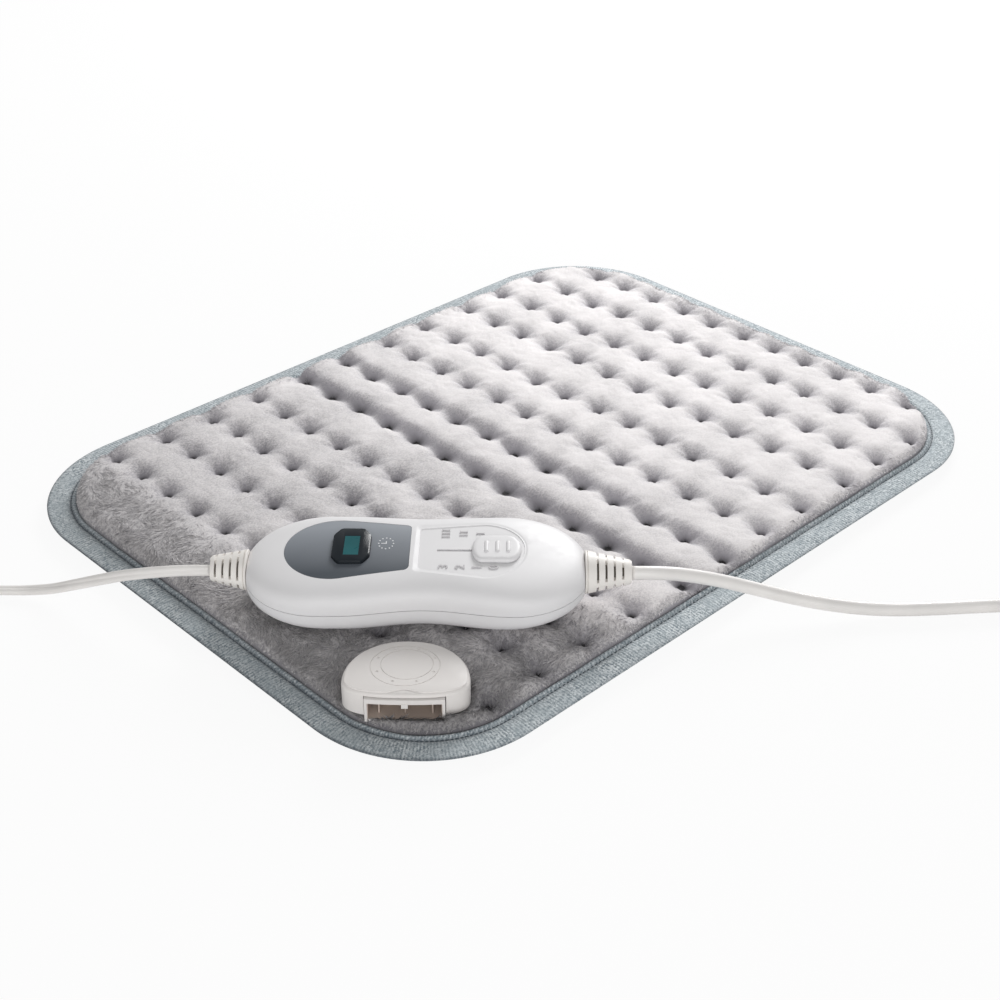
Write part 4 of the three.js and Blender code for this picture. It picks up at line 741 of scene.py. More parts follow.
def quilt_surface(x, y):
    """Height of the plush, and how open its pile is, which also sets painted shade: from 0, darkest, in
    a tuft to 1 on a pillow.
    """
    dx, dy, column, row = tuft_grid(x, y)
    sewn = ~((column == quilt.columns - 1) & ((row == 0) | (row == quilt.rows - 1)))
    jitter = np.random.default_rng(5).uniform(-1, 1, (quilt.columns, quilt.rows, 3))
    own = jitter[column.astype(int), row.astype(int)]
    dx, dy = dx + tuft.slack * own[..., 0], dy + tuft.slack * own[..., 1]
    far, turn = np.hypot(dx, dy), np.arctan2(dy, dx)
    width = tuft.width + tuft.slack * own[..., 2] + tuft.lobe * np.cos(5 * turn + 6 * own[..., 0])
    funnel = bell(far, width, 1.8) * sewn
    pit = bell(far, tuft.pit, 2.2) * sewn
    folds = tuft.fold * np.cos(7 * turn + 9 * own[..., 1]) * bell(far, tuft.fold_reach) * (far > 2)
    quilted = np.abs(columns_share(x)) < 1
    pull = groove.pull[column.astype(int)] * quilted
    lane = groove.deep * pull * bell(dx, groove.width + smooth_noise(x, y, 17, 3))
    row_dip = groove.row_deep * bell(dy, groove.row_width) * quilted
    swell = plush.swell * (0.7 * smooth_noise(x, y, 24, 1) + 0.3 * smooth_noise(x, y, 9, 2))
    full = pad.pillow_top - plush.give - pad.rim
    sewn_down = tuft.deep * (funnel + pit)
    height = pad.rim + rim_share(x, y) * (full + swell - lane - row_dip + folds - sewn_down)
    height = np.maximum(height, plush.lowest)
    # Painted shade carried by the pile value: lowest in each tuft, and on the walls of the deep
    # grooves.
    wall = pull * bell(dx - groove.wall_shift, groove.wall)
    pile_open_and_shade = 1 - 0.33 * funnel - 0.75 * bell(far, tuft.parted) * sewn - 0.36 * wall

    # The plush is pressed flat beside the socket's housing, and lies under it
    share = socket_share(x, y)
    press = eased((plush.clear - share) / (plush.clear - 1)) * (socket_front(x, y) < 0)
    height = height * (1 - press) + np.minimum(height, plush.beside) * press
    height = np.minimum(height, mouth_dip(x, y))
    height = np.where(share < 0.97, np.minimum(height, plush.under), height)
    return height, np.clip(pile_open_and_shade, 0, 1)


def rim_share(x, y):
    """0 at the cover's edge, rising to 1 where the padding is full: at once along the far sides."""
    inset = outline_inset(x, y)
    small = 0.05
    slope_x = (outline_inset(x + small, y) - inset) / small
    slope_y = (outline_inset(x, y + small) - inset) / small
    far = np.clip(0.5 - 0.75 * (slope_x + slope_y), 0, 1)
    roll = plush.roll + (plush.far_roll - plush.roll) * far
    reach = np.clip((inset - pad.cover_edge) / roll, 0, 1)
    return np.sqrt(reach * (2 - reach))


def socket_front(x, y):
    """How far a point lies out in front of the socket's mouth."""
    return -socket_place(x, y)[1] - socket.front


def mouth_dip(x, y):
    """Highest that the plush stands before the socket's mouth, rising away from it on all sides."""
    ahead = socket_front(x, y)
    beside = np.maximum(np.abs(socket_place(x, y)[0]) - receptacle.half, 0)
    rise = mouth.ahead * np.maximum(ahead, 0) + mouth.behind * np.maximum(-ahead - 1, 0)
    return mouth.height + rise + mouth.beside * beside


def corner_share(x, y):
    """1 at the pad's corner by the socket, falling to 0 as the distance from it grows."""
    away = (x + pad.length / 2) * 0.72 + (y + pad.width / 2) * 0.69
    return np.clip(1 - away / shade.corner, 0, 1)


def painted_pile_light(x, y):
    """Painted light and shade on the pile: darker toward the socket's corner and along the left strip,
    paler toward the right, with a little random tone.
    """
    light = 0.80 + 0.20 * eased((x - shade.left) / (shade.right - shade.left))
    light *= 1 - 0.20 * eased((shade.strip - x) / shade.strip_width)
    light *= 1 - 0.52 * eased(corner_share(x, y))
    return light * (1 + 0.07 * smooth_noise(x, y, 21, 41) + 0.05 * smooth_noise(x, y, 8, 42))


def fur_share(x, y):
    """How much of the fur stands in single strands: all of it by the socket, none far off."""
    strip = np.clip((-150 - x) / 20, 0, 1)
    rim = np.clip((17.0 - outline_inset(x, y)) / 1.5, 0, 1)
    return np.clip(1.6 * corner_share(x, y) + 0.5 * strip - 0.05 + rim, 0, 1)


def columns_share(x):
    """-1 to 1 over the quilted columns, more outside."""
    middle = quilt.first_x + (quilt.columns - 1) / 2 * quilt.pitch_x
    return (x - middle) / (quilt.columns / 2 * quilt.pitch_x)


def slopes(height, x, y, small):
    """How steeply a height over the plan rises along x and along y."""
    along_x = (height(x + small, y) - height(x - small, y)) / (2 * small)
    along_y = (height(x, y + small) - height(x, y - small)) / (2 * small)
    return along_x, along_y


def pad_grid(edge, step):
    """Places of a grid over the pad's plan, with its rim on the outline, and the grid's faces."""
    half_x, half_y = pad.length / 2 - edge, pad.width / 2 - edge
    xs = np.linspace(-half_x, half_x, round(2 * half_x / step))
    ys = np.linspace(-half_y, half_y, round(2 * half_y / step))
    x, y = (g.ravel() for g in np.meshgrid(xs, ys, indexing="ij"))
    inside = outline_inset(x, y) - edge
    keep = inside > -1e-6
    index = np.arange(x.size).reshape(len(xs), len(ys))
    corners = [index[:-1, :-1], index[1:, :-1], index[1:, 1:], index[:-1, 1:]]
    quads = np.stack(corners, -1).reshape(-1, 4)
    quads = quads[keep[quads].sum(1) >= 2]
    slope_x, slope_y = slopes(outline_inset, x, y, 0.01)
    shift = np.where(keep, 0, -inside)
    return x + slope_x * shift, y + slope_y * shift, quads


def sheet_piece(name, x, y, height, quads):
    """A piece from the faces of a grid, and the numbers of the places that they use."""
    used, flat = np.unique(quads, return_inverse=True)
    points = np.stack([x, y, height], -1)[used]
    return mesh_piece(name, points, flat.reshape(-1, 4).tolist()), used


def make_pad_top():
    """The plush: quilted, with the small tangles of its pile."""
    x, y, quads = pad_grid(pad.cover_edge, plush.step)
    height, pile_open_and_shade = quilt_surface(x, y)
    height += 0.16 * smooth_noise(x, y, 1.5, 11) + 0.12 * smooth_noise(x, y, 3.1, 12)
    piece, used = sheet_piece("plush_cover", x, y, height, quads)
    # Painted shade along the plush's edge, where it meets the tape.
    pile_open_and_shade *= np.clip((outline_inset(x, y) - pad.cover_edge) / 0.5, 0.45, 1)
    store_values(piece, "pile_open_and_shade", pile_open_and_shade[used])
    store_values(piece, "painted_light", painted_pile_light(x, y)[used])
    store_values(piece, "tone", np.full(len(used), 0.35))
    close_below(piece, plush.skirt)
    settle(piece, "plush", replaced=["pad_top_cover"])


def store_values(piece, name, values):
    layer = piece.data.attributes.new(name, "FLOAT", "POINT")
    layer.data.foreach_set("value", np.asarray(values, np.float32))


def unit(vectors):
    return vectors / np.linalg.norm(vectors, axis=1, keepdims=True)


def make_pile():
    """Single fibres of the plush, thickest by the socket: each a thin blade that lies over."""
    rng = np.random.default_rng(17)
    half_x, half_y = pad.length / 2 - fur.edge, pad.width / 2 - fur.edge
    x = rng.uniform(-half_x, half_x, 3 * fur.count)
    y = rng.uniform(-half_y, half_y, 3 * fur.count)
    keep = (outline_inset(x, y) > fur.edge) & (socket_share(x, y) > 0.99)
    keep &= rng.uniform(0, 1, x.size) < fur_share(x, y)
    x, y = x[keep][:fur.count], y[keep][:fur.count]
    height, pile_open_and_shade = quilt_surface(x, y)
    slope_x, slope_y = slopes(lambda u, v: quilt_surface(u, v)[0], x, y, 0.5)
    normal = unit(np.stack([-slope_x, -slope_y, np.ones_like(x)], -1))
    angle = fur.lie + 1.7 * smooth_noise(x, y, 10, 51) + rng.normal(0, 0.3, x.size)
    rim = outline_inset(x, y) < fur.rim
    in_x, in_y = slopes(outline_inset, x, y, 0.5)
    angle = np.where(rim, np.arctan2(-in_y, -in_x) + rng.normal(0, 0.5, x.size), angle)
    lay = np.stack([np.cos(angle), np.sin(angle), np.zeros_like(x)], -1)
    lay = unit(lay - normal * (lay * normal).sum(1, keepdims=True))
    side = np.cross(normal, lay)
    short, long = rng.uniform(*fur.rim_length, x.size), rng.uniform(*fur.length, x.size)
    length = np.where(rim, short, long)
    width = rng.uniform(*fur.half_width, x.size)
    lift = rng.uniform(*fur.lift, x.size)
    root = np.stack([x, y, height - fur.sunk], -1)
    tip = root + lay * length[:, None] + normal * (lift * length)[:, None]
    corners = np.stack([root + side * width[:, None], root - side * width[:, None], tip], 1)
    shading = unit(normal + 0.6 * side * rng.uniform(-1, 1, (x.size, 1)) - 0.25 * lay)
    piece = blades("plush_pile", corners, shading)
    tone = np.clip(rng.normal(0.2, 0.26, x.size), -0.4, 0.6)
    for name, values in (("pile_open_and_shade", pile_open_and_shade), ("painted_light", painted_pile_light(x, y)), ("tone", tone)):
        store_values(piece, name, np.repeat(values, 3))
    settle(piece, "plush")


def blades(name, corners, shading):
    """A mesh of loose triangles, each lit as the cloth under it is."""
    count = len(corners)
    mesh = bpy.data.meshes.new(name)
    mesh.vertices.add(3 * count)
    mesh.vertices.foreach_set("co", (corners * MM).astype(np.float32).ravel())
    mesh.loops.add(3 * count)
    mesh.loops.foreach_set("vertex_index", np.arange(3 * count, dtype=np.int32))
    mesh.polygons.add(count)
    mesh.polygons.foreach_set("loop_start", np.arange(0, 3 * count, 3, dtype=np.int32))
    mesh.update()
    mesh.shade_smooth()
    mesh.normals_split_custom_set_from_vertices(np.repeat(shading, 3, axis=0))
    return linked(name, mesh)


def close_below(piece, floor):
    """Runs the open edge of a sheet straight down and closes it underneath."""
    work = bmesh.new()
    work.from_mesh(piece.data)
    edges = [e for e in work.edges if e.is_boundary]
    made = bmesh.ops.extrude_edge_only(work, edges=edges)["geom"]
    for vertex in (g for g in made if isinstance(g, bmesh.types.BMVert)):
        vertex.co.z = floor * MM
    rim = [g for g in made if isinstance(g, bmesh.types.BMEdge)]
    bmesh.ops.edgeloop_fill(work, edges=rim)
    bmesh.ops.recalc_face_normals(work, faces=work.faces)
    work.to_mesh(piece.data)
    work.free()
    shaded(piece, 70)


# Section of the tape: inset from the pad's edge, height, and how much painted shade it has in its
# creases
TAPE = [
    (13.9, 4.3, 1.0), (13.6, 4.9, 0.9), (13.2, 5.35, 0.5), (12.8, 5.7, 0.1), (12.4, 5.85, 0.0),
    (11.9, 5.85, 0.0), (11.5, 5.65, 0.1), (11.1, 5.2, 0.6), (10.8, 4.8, 0.9), (10.5, 4.6, 1.0),
    (10.2, 4.7, 0.7), (9.8, 4.9, 0.3), (9.3, 5.1, 0.05), (8.6, 5.25, 0), (7.3, 5.4, 0),
    (5.5, 5.4, 0), (3.5, 5.3, 0), (1.9, 5.2, 0), (0.9, 5.05, 0), (0.3, 5.0, 0.35),
    (-0.2, 4.95, 0.8), (-0.55, 4.8, 1), (-0.55, 4.5, 1), (-0.1, 3.95, 1), (0.9, 3.1, 0.8),
    (2.2, 1.9, 0.3), (4.2, 0.5, 0), (7.0, 0.05, 0), (9.5, 0.05, 0), (12.0, 0.15, 0),
    (12.0, 1.1, 0), (5.2, 1.4, 0), (2.6, 3.0, 0), (4.0, 3.9, 0), (12.4, 4.05, 0),
]
FOLDED = 15


def make_binding():
    """Tape folded over the edge, its inner fold a thin ridge between two sewn grooves."""
    places, outward, run = pad_outline()
    wander = 0.2 * smooth_noise(run, run * 0, 26, 21)
    swell = 0.12 * smooth_noise(run, run * 0, 7, 22)
    across = path_runs([np.array(point[:2]) for point in TAPE])
    rings, weave, painted_crease_shade, painted_light, ridge = [], [], [], [], []
    for k, (place, out, along) in enumerate(zip(places, outward, run)):
        ring = []
        # Painted light: each side of the tape is made lighter or darker as the light falls on it,
        # lightest on the right.
        light = 1.175 + 0.175 * out[0] + 0.14 * max(-out[1], 0.0) ** 2 + 0.05 * max(out[1], 0.0) ** 2
        for n, (inset, z, dark) in enumerate(TAPE):
            flat = place - out * (inset + (wander[k] if n < FOLDED else 0))
            on_top = z > 5
            ring.append((flat[0], flat[1], z + (swell[k] if on_top else 0)))
            weave.append((along, across[n], 0.0))
            # Painted shade in the creases, stronger on the left side, which faces away from the light.
            painted_crease_shade.append(dark * (0.42 + 0.5 * max(-out[0], 0.0)))
            painted_light.append(light)
            ridge.append(1.0 if 11.0 < inset < 13.3 and on_top else 0.0)
        rings.append(ring)
    piece = lofted("edge_tape", rings, looped=True)
    layer = piece.data.attributes.new("weave", "FLOAT_VECTOR", "POINT")
    layer.data.foreach_set("vector", np.array(weave, np.float32).ravel())
    for name, values in (("painted_crease_shade", painted_crease_shade), ("painted_light", painted_light), ("ridge", ridge)):
        store_values(piece, name, values)
    settle(piece, "binding_tape", replaced=["edge_binding"])


def make_stitches():
    """Thread that lies in the groove between the tape and its ridge."""
    places, outward, run = pad_outline()
    points, faces = [], []
    for k in range(round(run[-1] / stitch.pitch)):
        at = k * stitch.pitch
        i = min(int(np.searchsorted(run, at)), len(places) - 1)
        out = outward[i]
        ahead = np.array([-out[1], out[0]])
        middle = places[i] - out * stitch.inset + ahead * (at - run[i])
        rings = []
        for share, thick in ((-1, 0.35), (-0.6, 0.9), (0, 1.0), (0.6, 0.9), (1, 0.35)):
            centre = middle + ahead * share * stitch.length / 2
            low = stitch.height - 0.12 * share * share
            section = circle(0, 0, stitch.radius * thick, 6)
            rings.append([(*(centre + out * a), low + b) for a, b in section])
        own_points, own_faces = loft(rings)
        faces += [tuple(len(points) + n for n in face) for face in own_faces]
        points += own_points
    settle(mesh_piece("edge_stitches", points, faces), "seam_thread")


def make_pad_bottom():
    """Brushed backing with a shallow dimple under each tuft."""
    x, y, quads = pad_grid(pad.backing_edge, backing.step)
    dx, dy, _, _ = tuft_grid(x, y)
    low = backing.dimple * bell(np.hypot(dx, dy), backing.dimple_width) + backing.low
    low += 0.1 * smooth_noise(x, y, 9, 31)
    piece, _ = sheet_piece("pad_backing", x, y, np.maximum(low, 0), quads)
    close_below(piece, backing.skirt)
    settle(piece, "lining", replaced=["pad_bottom_cover"])


# Hand controller
def handset_outline(inset=0.0, side_steps=40):
    """Two round caps, and between them sides that dip in to a waist."""
    radius = handset.cap - inset
    middle = handset.length / 2 - handset.cap
    points = []
    for side, depth in ((1, handset.far_waist), (-1, handset.near_waist)):
        points += half_turn(side * middle, 0, side * radius, side * radius, 48)
        for i in range(1, side_steps):
            x = side * middle * (1 - 2 * i / side_steps)
            away = abs(x - handset.waist_shift) / handset.waist_span
            dip = depth * (1 + math.cos(math.pi * away)) / 2 if away < 1 else 0
            points.append((x, side * (radius - dip)))
    return points


def handset_half(side, inset=0.0, start=0.0, levels=30, drop=0.0, name="half"):
    """Upper (side 1) or lower (side -1) half of the pillow-shaped body."""
    outline = handset_outline(inset)
    height = handset.half - inset
    power = handset.power
    first = math.asin((start / height) ** (power / 2))
    last = math.pi / 2 - 0.004
    rings = []
    for i in range(levels + 1):
        share = i / levels
        angle = first + (last - first) * share
        scale = math.cos(angle) ** (2 / power)
        z = height * math.sin(angle) ** (2 / power)
        rings.append(ring_at(outline, side * z - drop, scale))
    if side < 0:
        rings.reverse()
    return lofted(name, rings)


def crown_height(x, y):
    """Height of the top of the body over a point, in the handset's own frame."""
    outline = np.array(handset_outline())
    turns = np.unwrap(np.arctan2(outline[:, 1], outline[:, 0]))
    radii = np.hypot(outline[:, 0], outline[:, 1])
    order = np.argsort(turns)
    turn = math.atan2(y, x)
    base = turns[order]
    while turn < base[0]:
        turn += 2 * math.pi
    reach = np.interp(turn, base, radii[order])
    return handset.half * (1 - (math.hypot(x, y) / reach) ** handset.power) ** (1 / handset.power)


def drawn_over(points):
    """The panel and the recess lie a little toward the far side, more so past the panel's nose."""
    return [(x, y + 0.8 + 0.9 * min(max((x - panel.nose) / 31, 0.0), 1.0)) for x, y in points]


def corner_arc(x, y, radius, quarter):
    """The rounded corner that turns through the given quarter of a circle."""
    start = quarter * math.pi / 2
    return arc(x, y, radius, radius, start, start + math.pi / 2, 8)


def panel_outline(grow=0.0):
    """A round nose, and straight sides that lean in to two rounded corners."""
    radius = panel.radius + grow
    right, half = panel.right + grow, panel.half + grow
    start = math.pi / 2 - math.atan2(panel.radius - panel.half, right - panel.nose)
    points = arc(panel.nose, 0, radius, radius, start, 2 * math.pi - start, 72)
    points += corner_arc(right - panel.corner, panel.corner - half, panel.corner, -1)
    points += corner_arc(right - panel.corner, half - panel.corner, panel.corner, 0)
    return drawn_over(points)


def lens_outline(grow=0.0, round_by=1.2, steps=7):
    """An octagon with softened corners, its long sides across the body."""
    half_x, half_y = display.half_x + grow, display.half_y + grow
    inner_x, inner_y = half_x - display.corner_x, half_y - display.corner_y
    corners = [
        (half_x, -inner_y), (half_x, inner_y), (inner_x, half_y), (-inner_x, half_y),
        (-half_x, inner_y), (-half_x, -inner_y), (-inner_x, -half_y), (inner_x, -half_y),
    ]
    points = []
    for i, corner in enumerate(corners):
        here = Vector(corner)
        before = (Vector(corners[i - 1]) - here).normalized()
        after = (Vector(corners[(i + 1) % 8]) - here).normalized()
        for k in range(steps):
            t = k / (steps - 1)
            bend = here + round_by * ((1 - t) ** 2 * before + t**2 * after)
            points.append((display.x + bend.x, display.y + bend.y))
    return points


def recess_outline(share, grow=0.0):
    """The recess narrows from its rim (share 0) to its floor (share 1)."""
    left = recess.left + share * recess.left_slope - grow + recess.corner
    far = recess.half - share * recess.side_slope + grow
    near = recess.half - recess.near_left - share * recess.near_slope + grow
    length = recess.nose_length - share * recess.nose_slope + grow
    far_half = recess.nose_half - share * recess.side_slope + grow
    near_half = recess.nose_half - share * recess.near_slope + grow
    points = corner_arc(left, recess.corner - near, recess.corner, 2)
    points += arc(recess.nose, 0, length, near_half, -math.pi / 2, 0, 32)[:-1]
    points += arc(recess.nose, 0, length, far_half, 0, math.pi / 2, 32)
    points += corner_arc(left, far - recess.corner, recess.corner, 1)
    return drawn_over(points)


def recess_tool():
    """Cuts the recess: a flat floor, sloping walls, and a rim that rolls softly into the crown."""
    floor_z = recess.floor_z
    rim, foot = recess_outline(0), recess_outline(1)
    shares = np.linspace(0.0, 1.0, 26)

    def wall_point(k, share):
        (x0, y0), (x1, y1) = rim[k], foot[k]
        return x0 + share * (x1 - x0), y0 + share * (y1 - y0)

    meets = []
    for k in range(len(rim)):
        above = [floor_z + recess.drop * (1 - s) - crown_height(*wall_point(k, s)) for s in shares]
        meets.append(float(np.interp(0.0, above[::-1], shares[::-1])))
    rings = [ring_at(recess_outline(1.0), floor_z), ring_at(recess_outline(0.94), floor_z + 0.3)]
    for lead, sink in ((0.14, None), (0.05, 0.12), (-0.03, 0.04), (-0.12, -0.01)):
        ring = []
        for k, meet in enumerate(meets):
            x, y = wall_point(k, meet + lead)
            if sink is None:
                z = floor_z + recess.drop * (1 - meet - lead)
            else:
                z = crown_height(x, y) - sink
            ring.append((x, y, z))
        rings.append(ring)
    rings.append([(x, y, handset.sky) for x, y, _ in rings[-1]])
    return lofted("tool", rings)


def relief_tools():
    """Flat end faces, bores and seats of the strain reliefs, cut in both shells."""
    inner = handset.length / 2 - handset.end_wall
    tools = []
    for end in (pad_relief, mains_relief):
        groove_end = end.seat - relief.neck_length + 0.3
        for x1, radius in ((handset.length / 2, relief.neck + 0.3), (groove_end, relief.flange + 0.3)):
            tools.append(rod_x(*sorted((end.side * (inner - 2), end.side * x1)), radius))
        face = sorted((end.side * end.seat, end.side * (handset.length / 2 + 2)))
        tools.append(block(*face, -handset.cap, handset.cap, -handset.half - 1, handset.half + 1))
    return tools


def handset_inside(side):
    """The hollow of one half: the body drawn in by the wall, and short of the thick ends."""
    reach = handset.length / 2 - handset.end_wall
    room = block(-reach, reach, -handset.cap, handset.cap, -handset.half, handset.half)
    return within(handset_half(side, handset.wall, 0, 10), room)


def make_top_shell():
    shell = handset_half(1, 0, handset.gap / 2, name="controller_top")
    inside = cut(
        handset_inside(1),
        prism(recess_outline(1, recess.floor), recess.tub_z, handset.half),
        prism(panel_outline(handset.wall), recess.tub_z, handset.half),
    )
    slot_right = slider.x + slider.stem / 2 + 0.3
    slot_left = slot_right - slider.travel - slider.stem - 0.6
    near, far = slider.y - slider.slot / 2, slider.y + slider.slot / 2
    seat = prism(panel_outline(0.08), recess.tub_z + 0.3, handset.sky)
    cut(seat, handset_half(1, drop=panel.thick + 0.1))
    cut(shell, inside)
    cut(shell, recess_tool())
    cut(shell, block(slot_left, slot_right, near, far, 0, handset.half))
    cut(shell, seat)
    cut(shell, prism(lens_outline(0.3), 0, handset.sky))
    cut(shell, *relief_tools())
    settle(on_handset(shell, 32), "white_shell", replaced=["controller_top_shell"])


def make_bottom_shell():
    shell = handset_half(-1, 0, handset.gap / 2, name="controller_bottom")
    cut(shell, handset_inside(-1))
    cut(shell, *relief_tools())
    low = -handset.half
    for x in (screw.x, -screw.x):
        for y in (screw.y, -screw.y):
            hole = prism(circle(x, y, screw.hole), low - 2, 0)
            cut(shell, hole, prism(circle(x, y, screw.head), low - 2, low + screw.head_deep))
    settle(on_handset(shell, 32), "white_shell", replaced=["controller_bottom_shell"])


def make_panel():
    sheet = within(
        prism(panel_outline(), 0, handset.sky, name="control_panel"),
        cut(handset_half(1, drop=0.16), handset_half(1, drop=panel.thick)),
    )
    cut(sheet, prism(lens_outline(0.15), 0, handset.sky))
    settle(on_handset(sheet, 32), "grey_label", replaced=["label_panel"])


def make_lens():
    """The dark window with its soft rim, and the teal screen sunk in it."""
    top = handset.half + display.rise
    profile = [(0, recess.tub_z), (0, top - 0.5), (-0.15, top - 0.18), (-0.5, top)]
    lens = lofted("display_window", [ring_at(lens_outline(grow), z) for grow, z in profile])
    low, gap = top - window.deep, window.gap
    cut(lens, block(window.left, window.right, window.near, window.far, low, top + 1))
    settle(on_handset(lens), "dark_lens", replaced=["display_lens"])
    screen = block(
        window.left + gap, window.right - gap, window.near + gap, window.far - gap,
        low + 0.02, top - gap, "display_screen",
    )
    settle(on_handset(screen), "teal_screen")


def knob_outline(inset):
    """The knob's plan, rounded at both ends, and more so at the end away from the panel."""
    points = []
    for side, length in ((1, slider.nose), (-1, slider.heel)):
        middle = slider.x + side * (slider.length / 2 - length)
        points += half_turn(middle, slider.y, side * (length - inset), side * (slider.half - inset))
    return points


def make_knob():
    """The knob with three finger ribs, and the stem that goes down through the slot."""
    bottom = recess.floor_z + 0.3
    top = bottom + slider.height
    edge = [(0, 1.4), (0.1, 0.95), (0.38, 0.52), (0.8, 0.22), (1.4, 0.04), (2.2, 0)]
    rings = [ring_at(knob_outline(0), bottom)]
    rings += [ring_at(knob_outline(inset), top - drop) for inset, drop in edge]
    knob = lofted("slide_knob", rings)
    ribs = [
        rounded_bar(slider.x + 0.3 + i * slider.pitch, 1.0, slider.rib / 2, top - 0.15, 0.75)
        for i in (-1, 0, 1)
    ]
    half_x, half_y = slider.stem / 2, slider.stem_width / 2
    stem = block(
        slider.x - half_x, slider.x + half_x, slider.y - half_y, slider.y + half_y,
        recess.tub_z - 1.5, bottom + 0.3,
    )
    joined(knob, *ribs, stem)
    settle(on_handset(knob, 40), "white_shell", body="slider", replaced=["slider_knob"])


def rounded_bar(x, half_x, half_y, z, rise):
    """A finger rib with round ends and a round back."""
    rings = []
    for share, lift in ((0, 0), (0.06, 0.35), (0.25, 0.7), (0.55, 0.93), (0.9, 1.0)):
        radius, reach = half_x * (1 - share), half_y - half_x
        outline = arc(x, slider.y + reach, radius, radius, 0, math.pi, 8)
        outline += arc(x, slider.y - reach, radius, radius, math.pi, 2 * math.pi, 8)
        rings.append(ring_at(outline, z + rise * lift))
    return lofted("tool", rings)


def glyph(text, size, x, y, z, rise):
    """A raised character in the handset's own frame, its top towards the mains lead."""
    data = bpy.data.curves.new("tool", "FONT")
    data.body = text
    data.size = size * MM
    data.extrude = rise / 2 * MM
    data.bevel_depth = 0.05 * MM
    data.align_x = "CENTER"
    data.align_y = "CENTER"
    data.resolution_u = 6
    shape = linked("tool", data)
    bpy.context.view_layer.update()
    seen = shape.evaluated_get(bpy.context.evaluated_depsgraph_get())
    piece = linked(f"mark_{text}", bpy.data.meshes.new_from_object(seen))
    bpy.data.objects.remove(shape)
    return in_frame(piece, x, y, z + rise / 2, math.pi / 2)


def make_numbers():
    """Raised numbers on both sides of the slot: digits near it, strokes with serifs beyond it."""
    low = recess.floor_z - 0.02
    for text, x, y in (("3", 11.7, -11.8), ("2", 18.75, -12.0), ("1", 25.8, -12.1), ("0", 32.9, -12.1)):
        digit = glyph(text, marks.digit, x, y, low, marks.rise)
        settle(on_handset(digit), "marks")
    for count, x in ((3, 12.1), (2, 19.7), (1, 26.9)):
        bars = []
        for i in range(count):
            y = marks.row + marks.gap * (i - (count - 1) / 2)
            x0, x1 = x - marks.stroke, x + marks.stroke
            bars.append(block(x0, x1, y - marks.thin, y + marks.thin, low, low + marks.rise + 0.03))
            for foot in (x0, x1 - 0.25):
                serif = (foot, foot + 0.25, y - marks.serif, y + marks.serif)
                bars.append(block(*serif, low, low + marks.rise))
        strokes = joined(bars[0], *bars[1:])
        strokes.name = f"mark_{'I' * count}"
        settle(on_handset(strokes), "marks")


def make_clock():
    """A ring of dots with two hands, printed on the panel."""
    x, y, rise = clock.x, clock.y, clock.rise
    tools = []
    for c, s in circle(0, 0, clock.radius, 12):
        u, v = x + 0.9 * c, y + 1.15 * s
        z = crown_height(u, v) - clock.sunk
        tools.append(prism(circle(u, v, clock.dot, 14), z, z + rise))
    z = crown_height(x, y) - clock.sunk
    face = prism(circle(x, y, clock.hub, 14), z, z + rise, name="clock_mark")
    tools.append(block(x - clock.long, x, y - clock.hand, y + clock.hand, z, z + rise - 0.005))
    tools.append(block(x - clock.hand, x + clock.hand, y, y + clock.short, z, z + rise - 0.005))
    joined(face, *tools)
    settle(on_handset(face), "print_white")


def relief_body(end, name="tool", shrink=0.0, soft=0.0):
    """The strain relief's plain taper, drawn in by shrink, and by soft more at both its ends."""
    rings = []
    for share in (0, 0.02, 0.5, 0.96, 1):
        less = shrink + (soft if share in (0, 1) else 0)
        y, z = ((1 - share) * a + share * b - less for a, b in zip(end.base, end.tip))
        lift = (1 - share) * end.lift[0] + share * end.lift[1]
        x = end.seat + 0.3 + share * end.length
        rings.append([(x, a, b) for a, b in arc(0, lift, y, z, 0, 2 * math.pi, 56)[:-1]])
    return lofted(name, rings)


def make_relief(end, name, replaced):
    """Ribs with slits between them over a core in painted shade, so that the slits look shadowed, on a
    neck and a flange that the shells clamp.
    """
    start = end.seat + 0.3
    stop = start + end.length
    reach = max(end.base) + 2
    ribbed = start + end.collar

    def slab(x0, x1, half_y=reach, half_z=reach):
        return block(x0, x1, -half_y, half_y, -half_z, half_z)

    body = relief_body(end, name, soft=0.4)
    slits = [start + relief.ring] + [ribbed + i * end.pitch for i in range(relief.ribs)]
    widths = [relief.ring_gap] + [relief.groove] * relief.ribs
    cut(body, *(slab(x, x + width) for x, width in zip(slits, widths)))
    spines = joined(
        slab(ribbed, stop, half_z=relief.spine / 2), slab(ribbed, stop, half_y=relief.spine / 2),
    )
    within(spines, relief_body(end, shrink=0.12))
    collar = within(relief_body(end, shrink=relief.ring_deep), slab(start + 0.3, ribbed))
    joined(body, collar, spines)
    core = within(relief_body(end, f"{name}_core", relief.deep), slab(ribbed - 0.5, stop))
    flange_end = end.seat - relief.neck_length
    joined(
        body,
        rod_x(flange_end - 0.3, start + 0.3, relief.neck),
        rod_x(flange_end - relief.flange_thick, flange_end, relief.flange),
    )
    for piece in (body, core):
        if end.side < 0:
            piece.data.transform(Matrix.Rotation(math.pi, 4, "Z"))
        on_handset(piece, 35)
    settle(core, "relief_core_painted_shade")
    settle(body, "ivory", replaced=replaced)


# Socket on the pad
def socket_top(y, drop=0.0):
    """Height of the housing's sloping top over a point, less a drop."""
    return socket.height - socket.slope * (y + socket.front) - drop


def on_top(outline, drop):
    """A ring that follows the housing's sloping top, some way under it."""
    return [(x, y, socket_top(y, drop)) for x, y in outline]


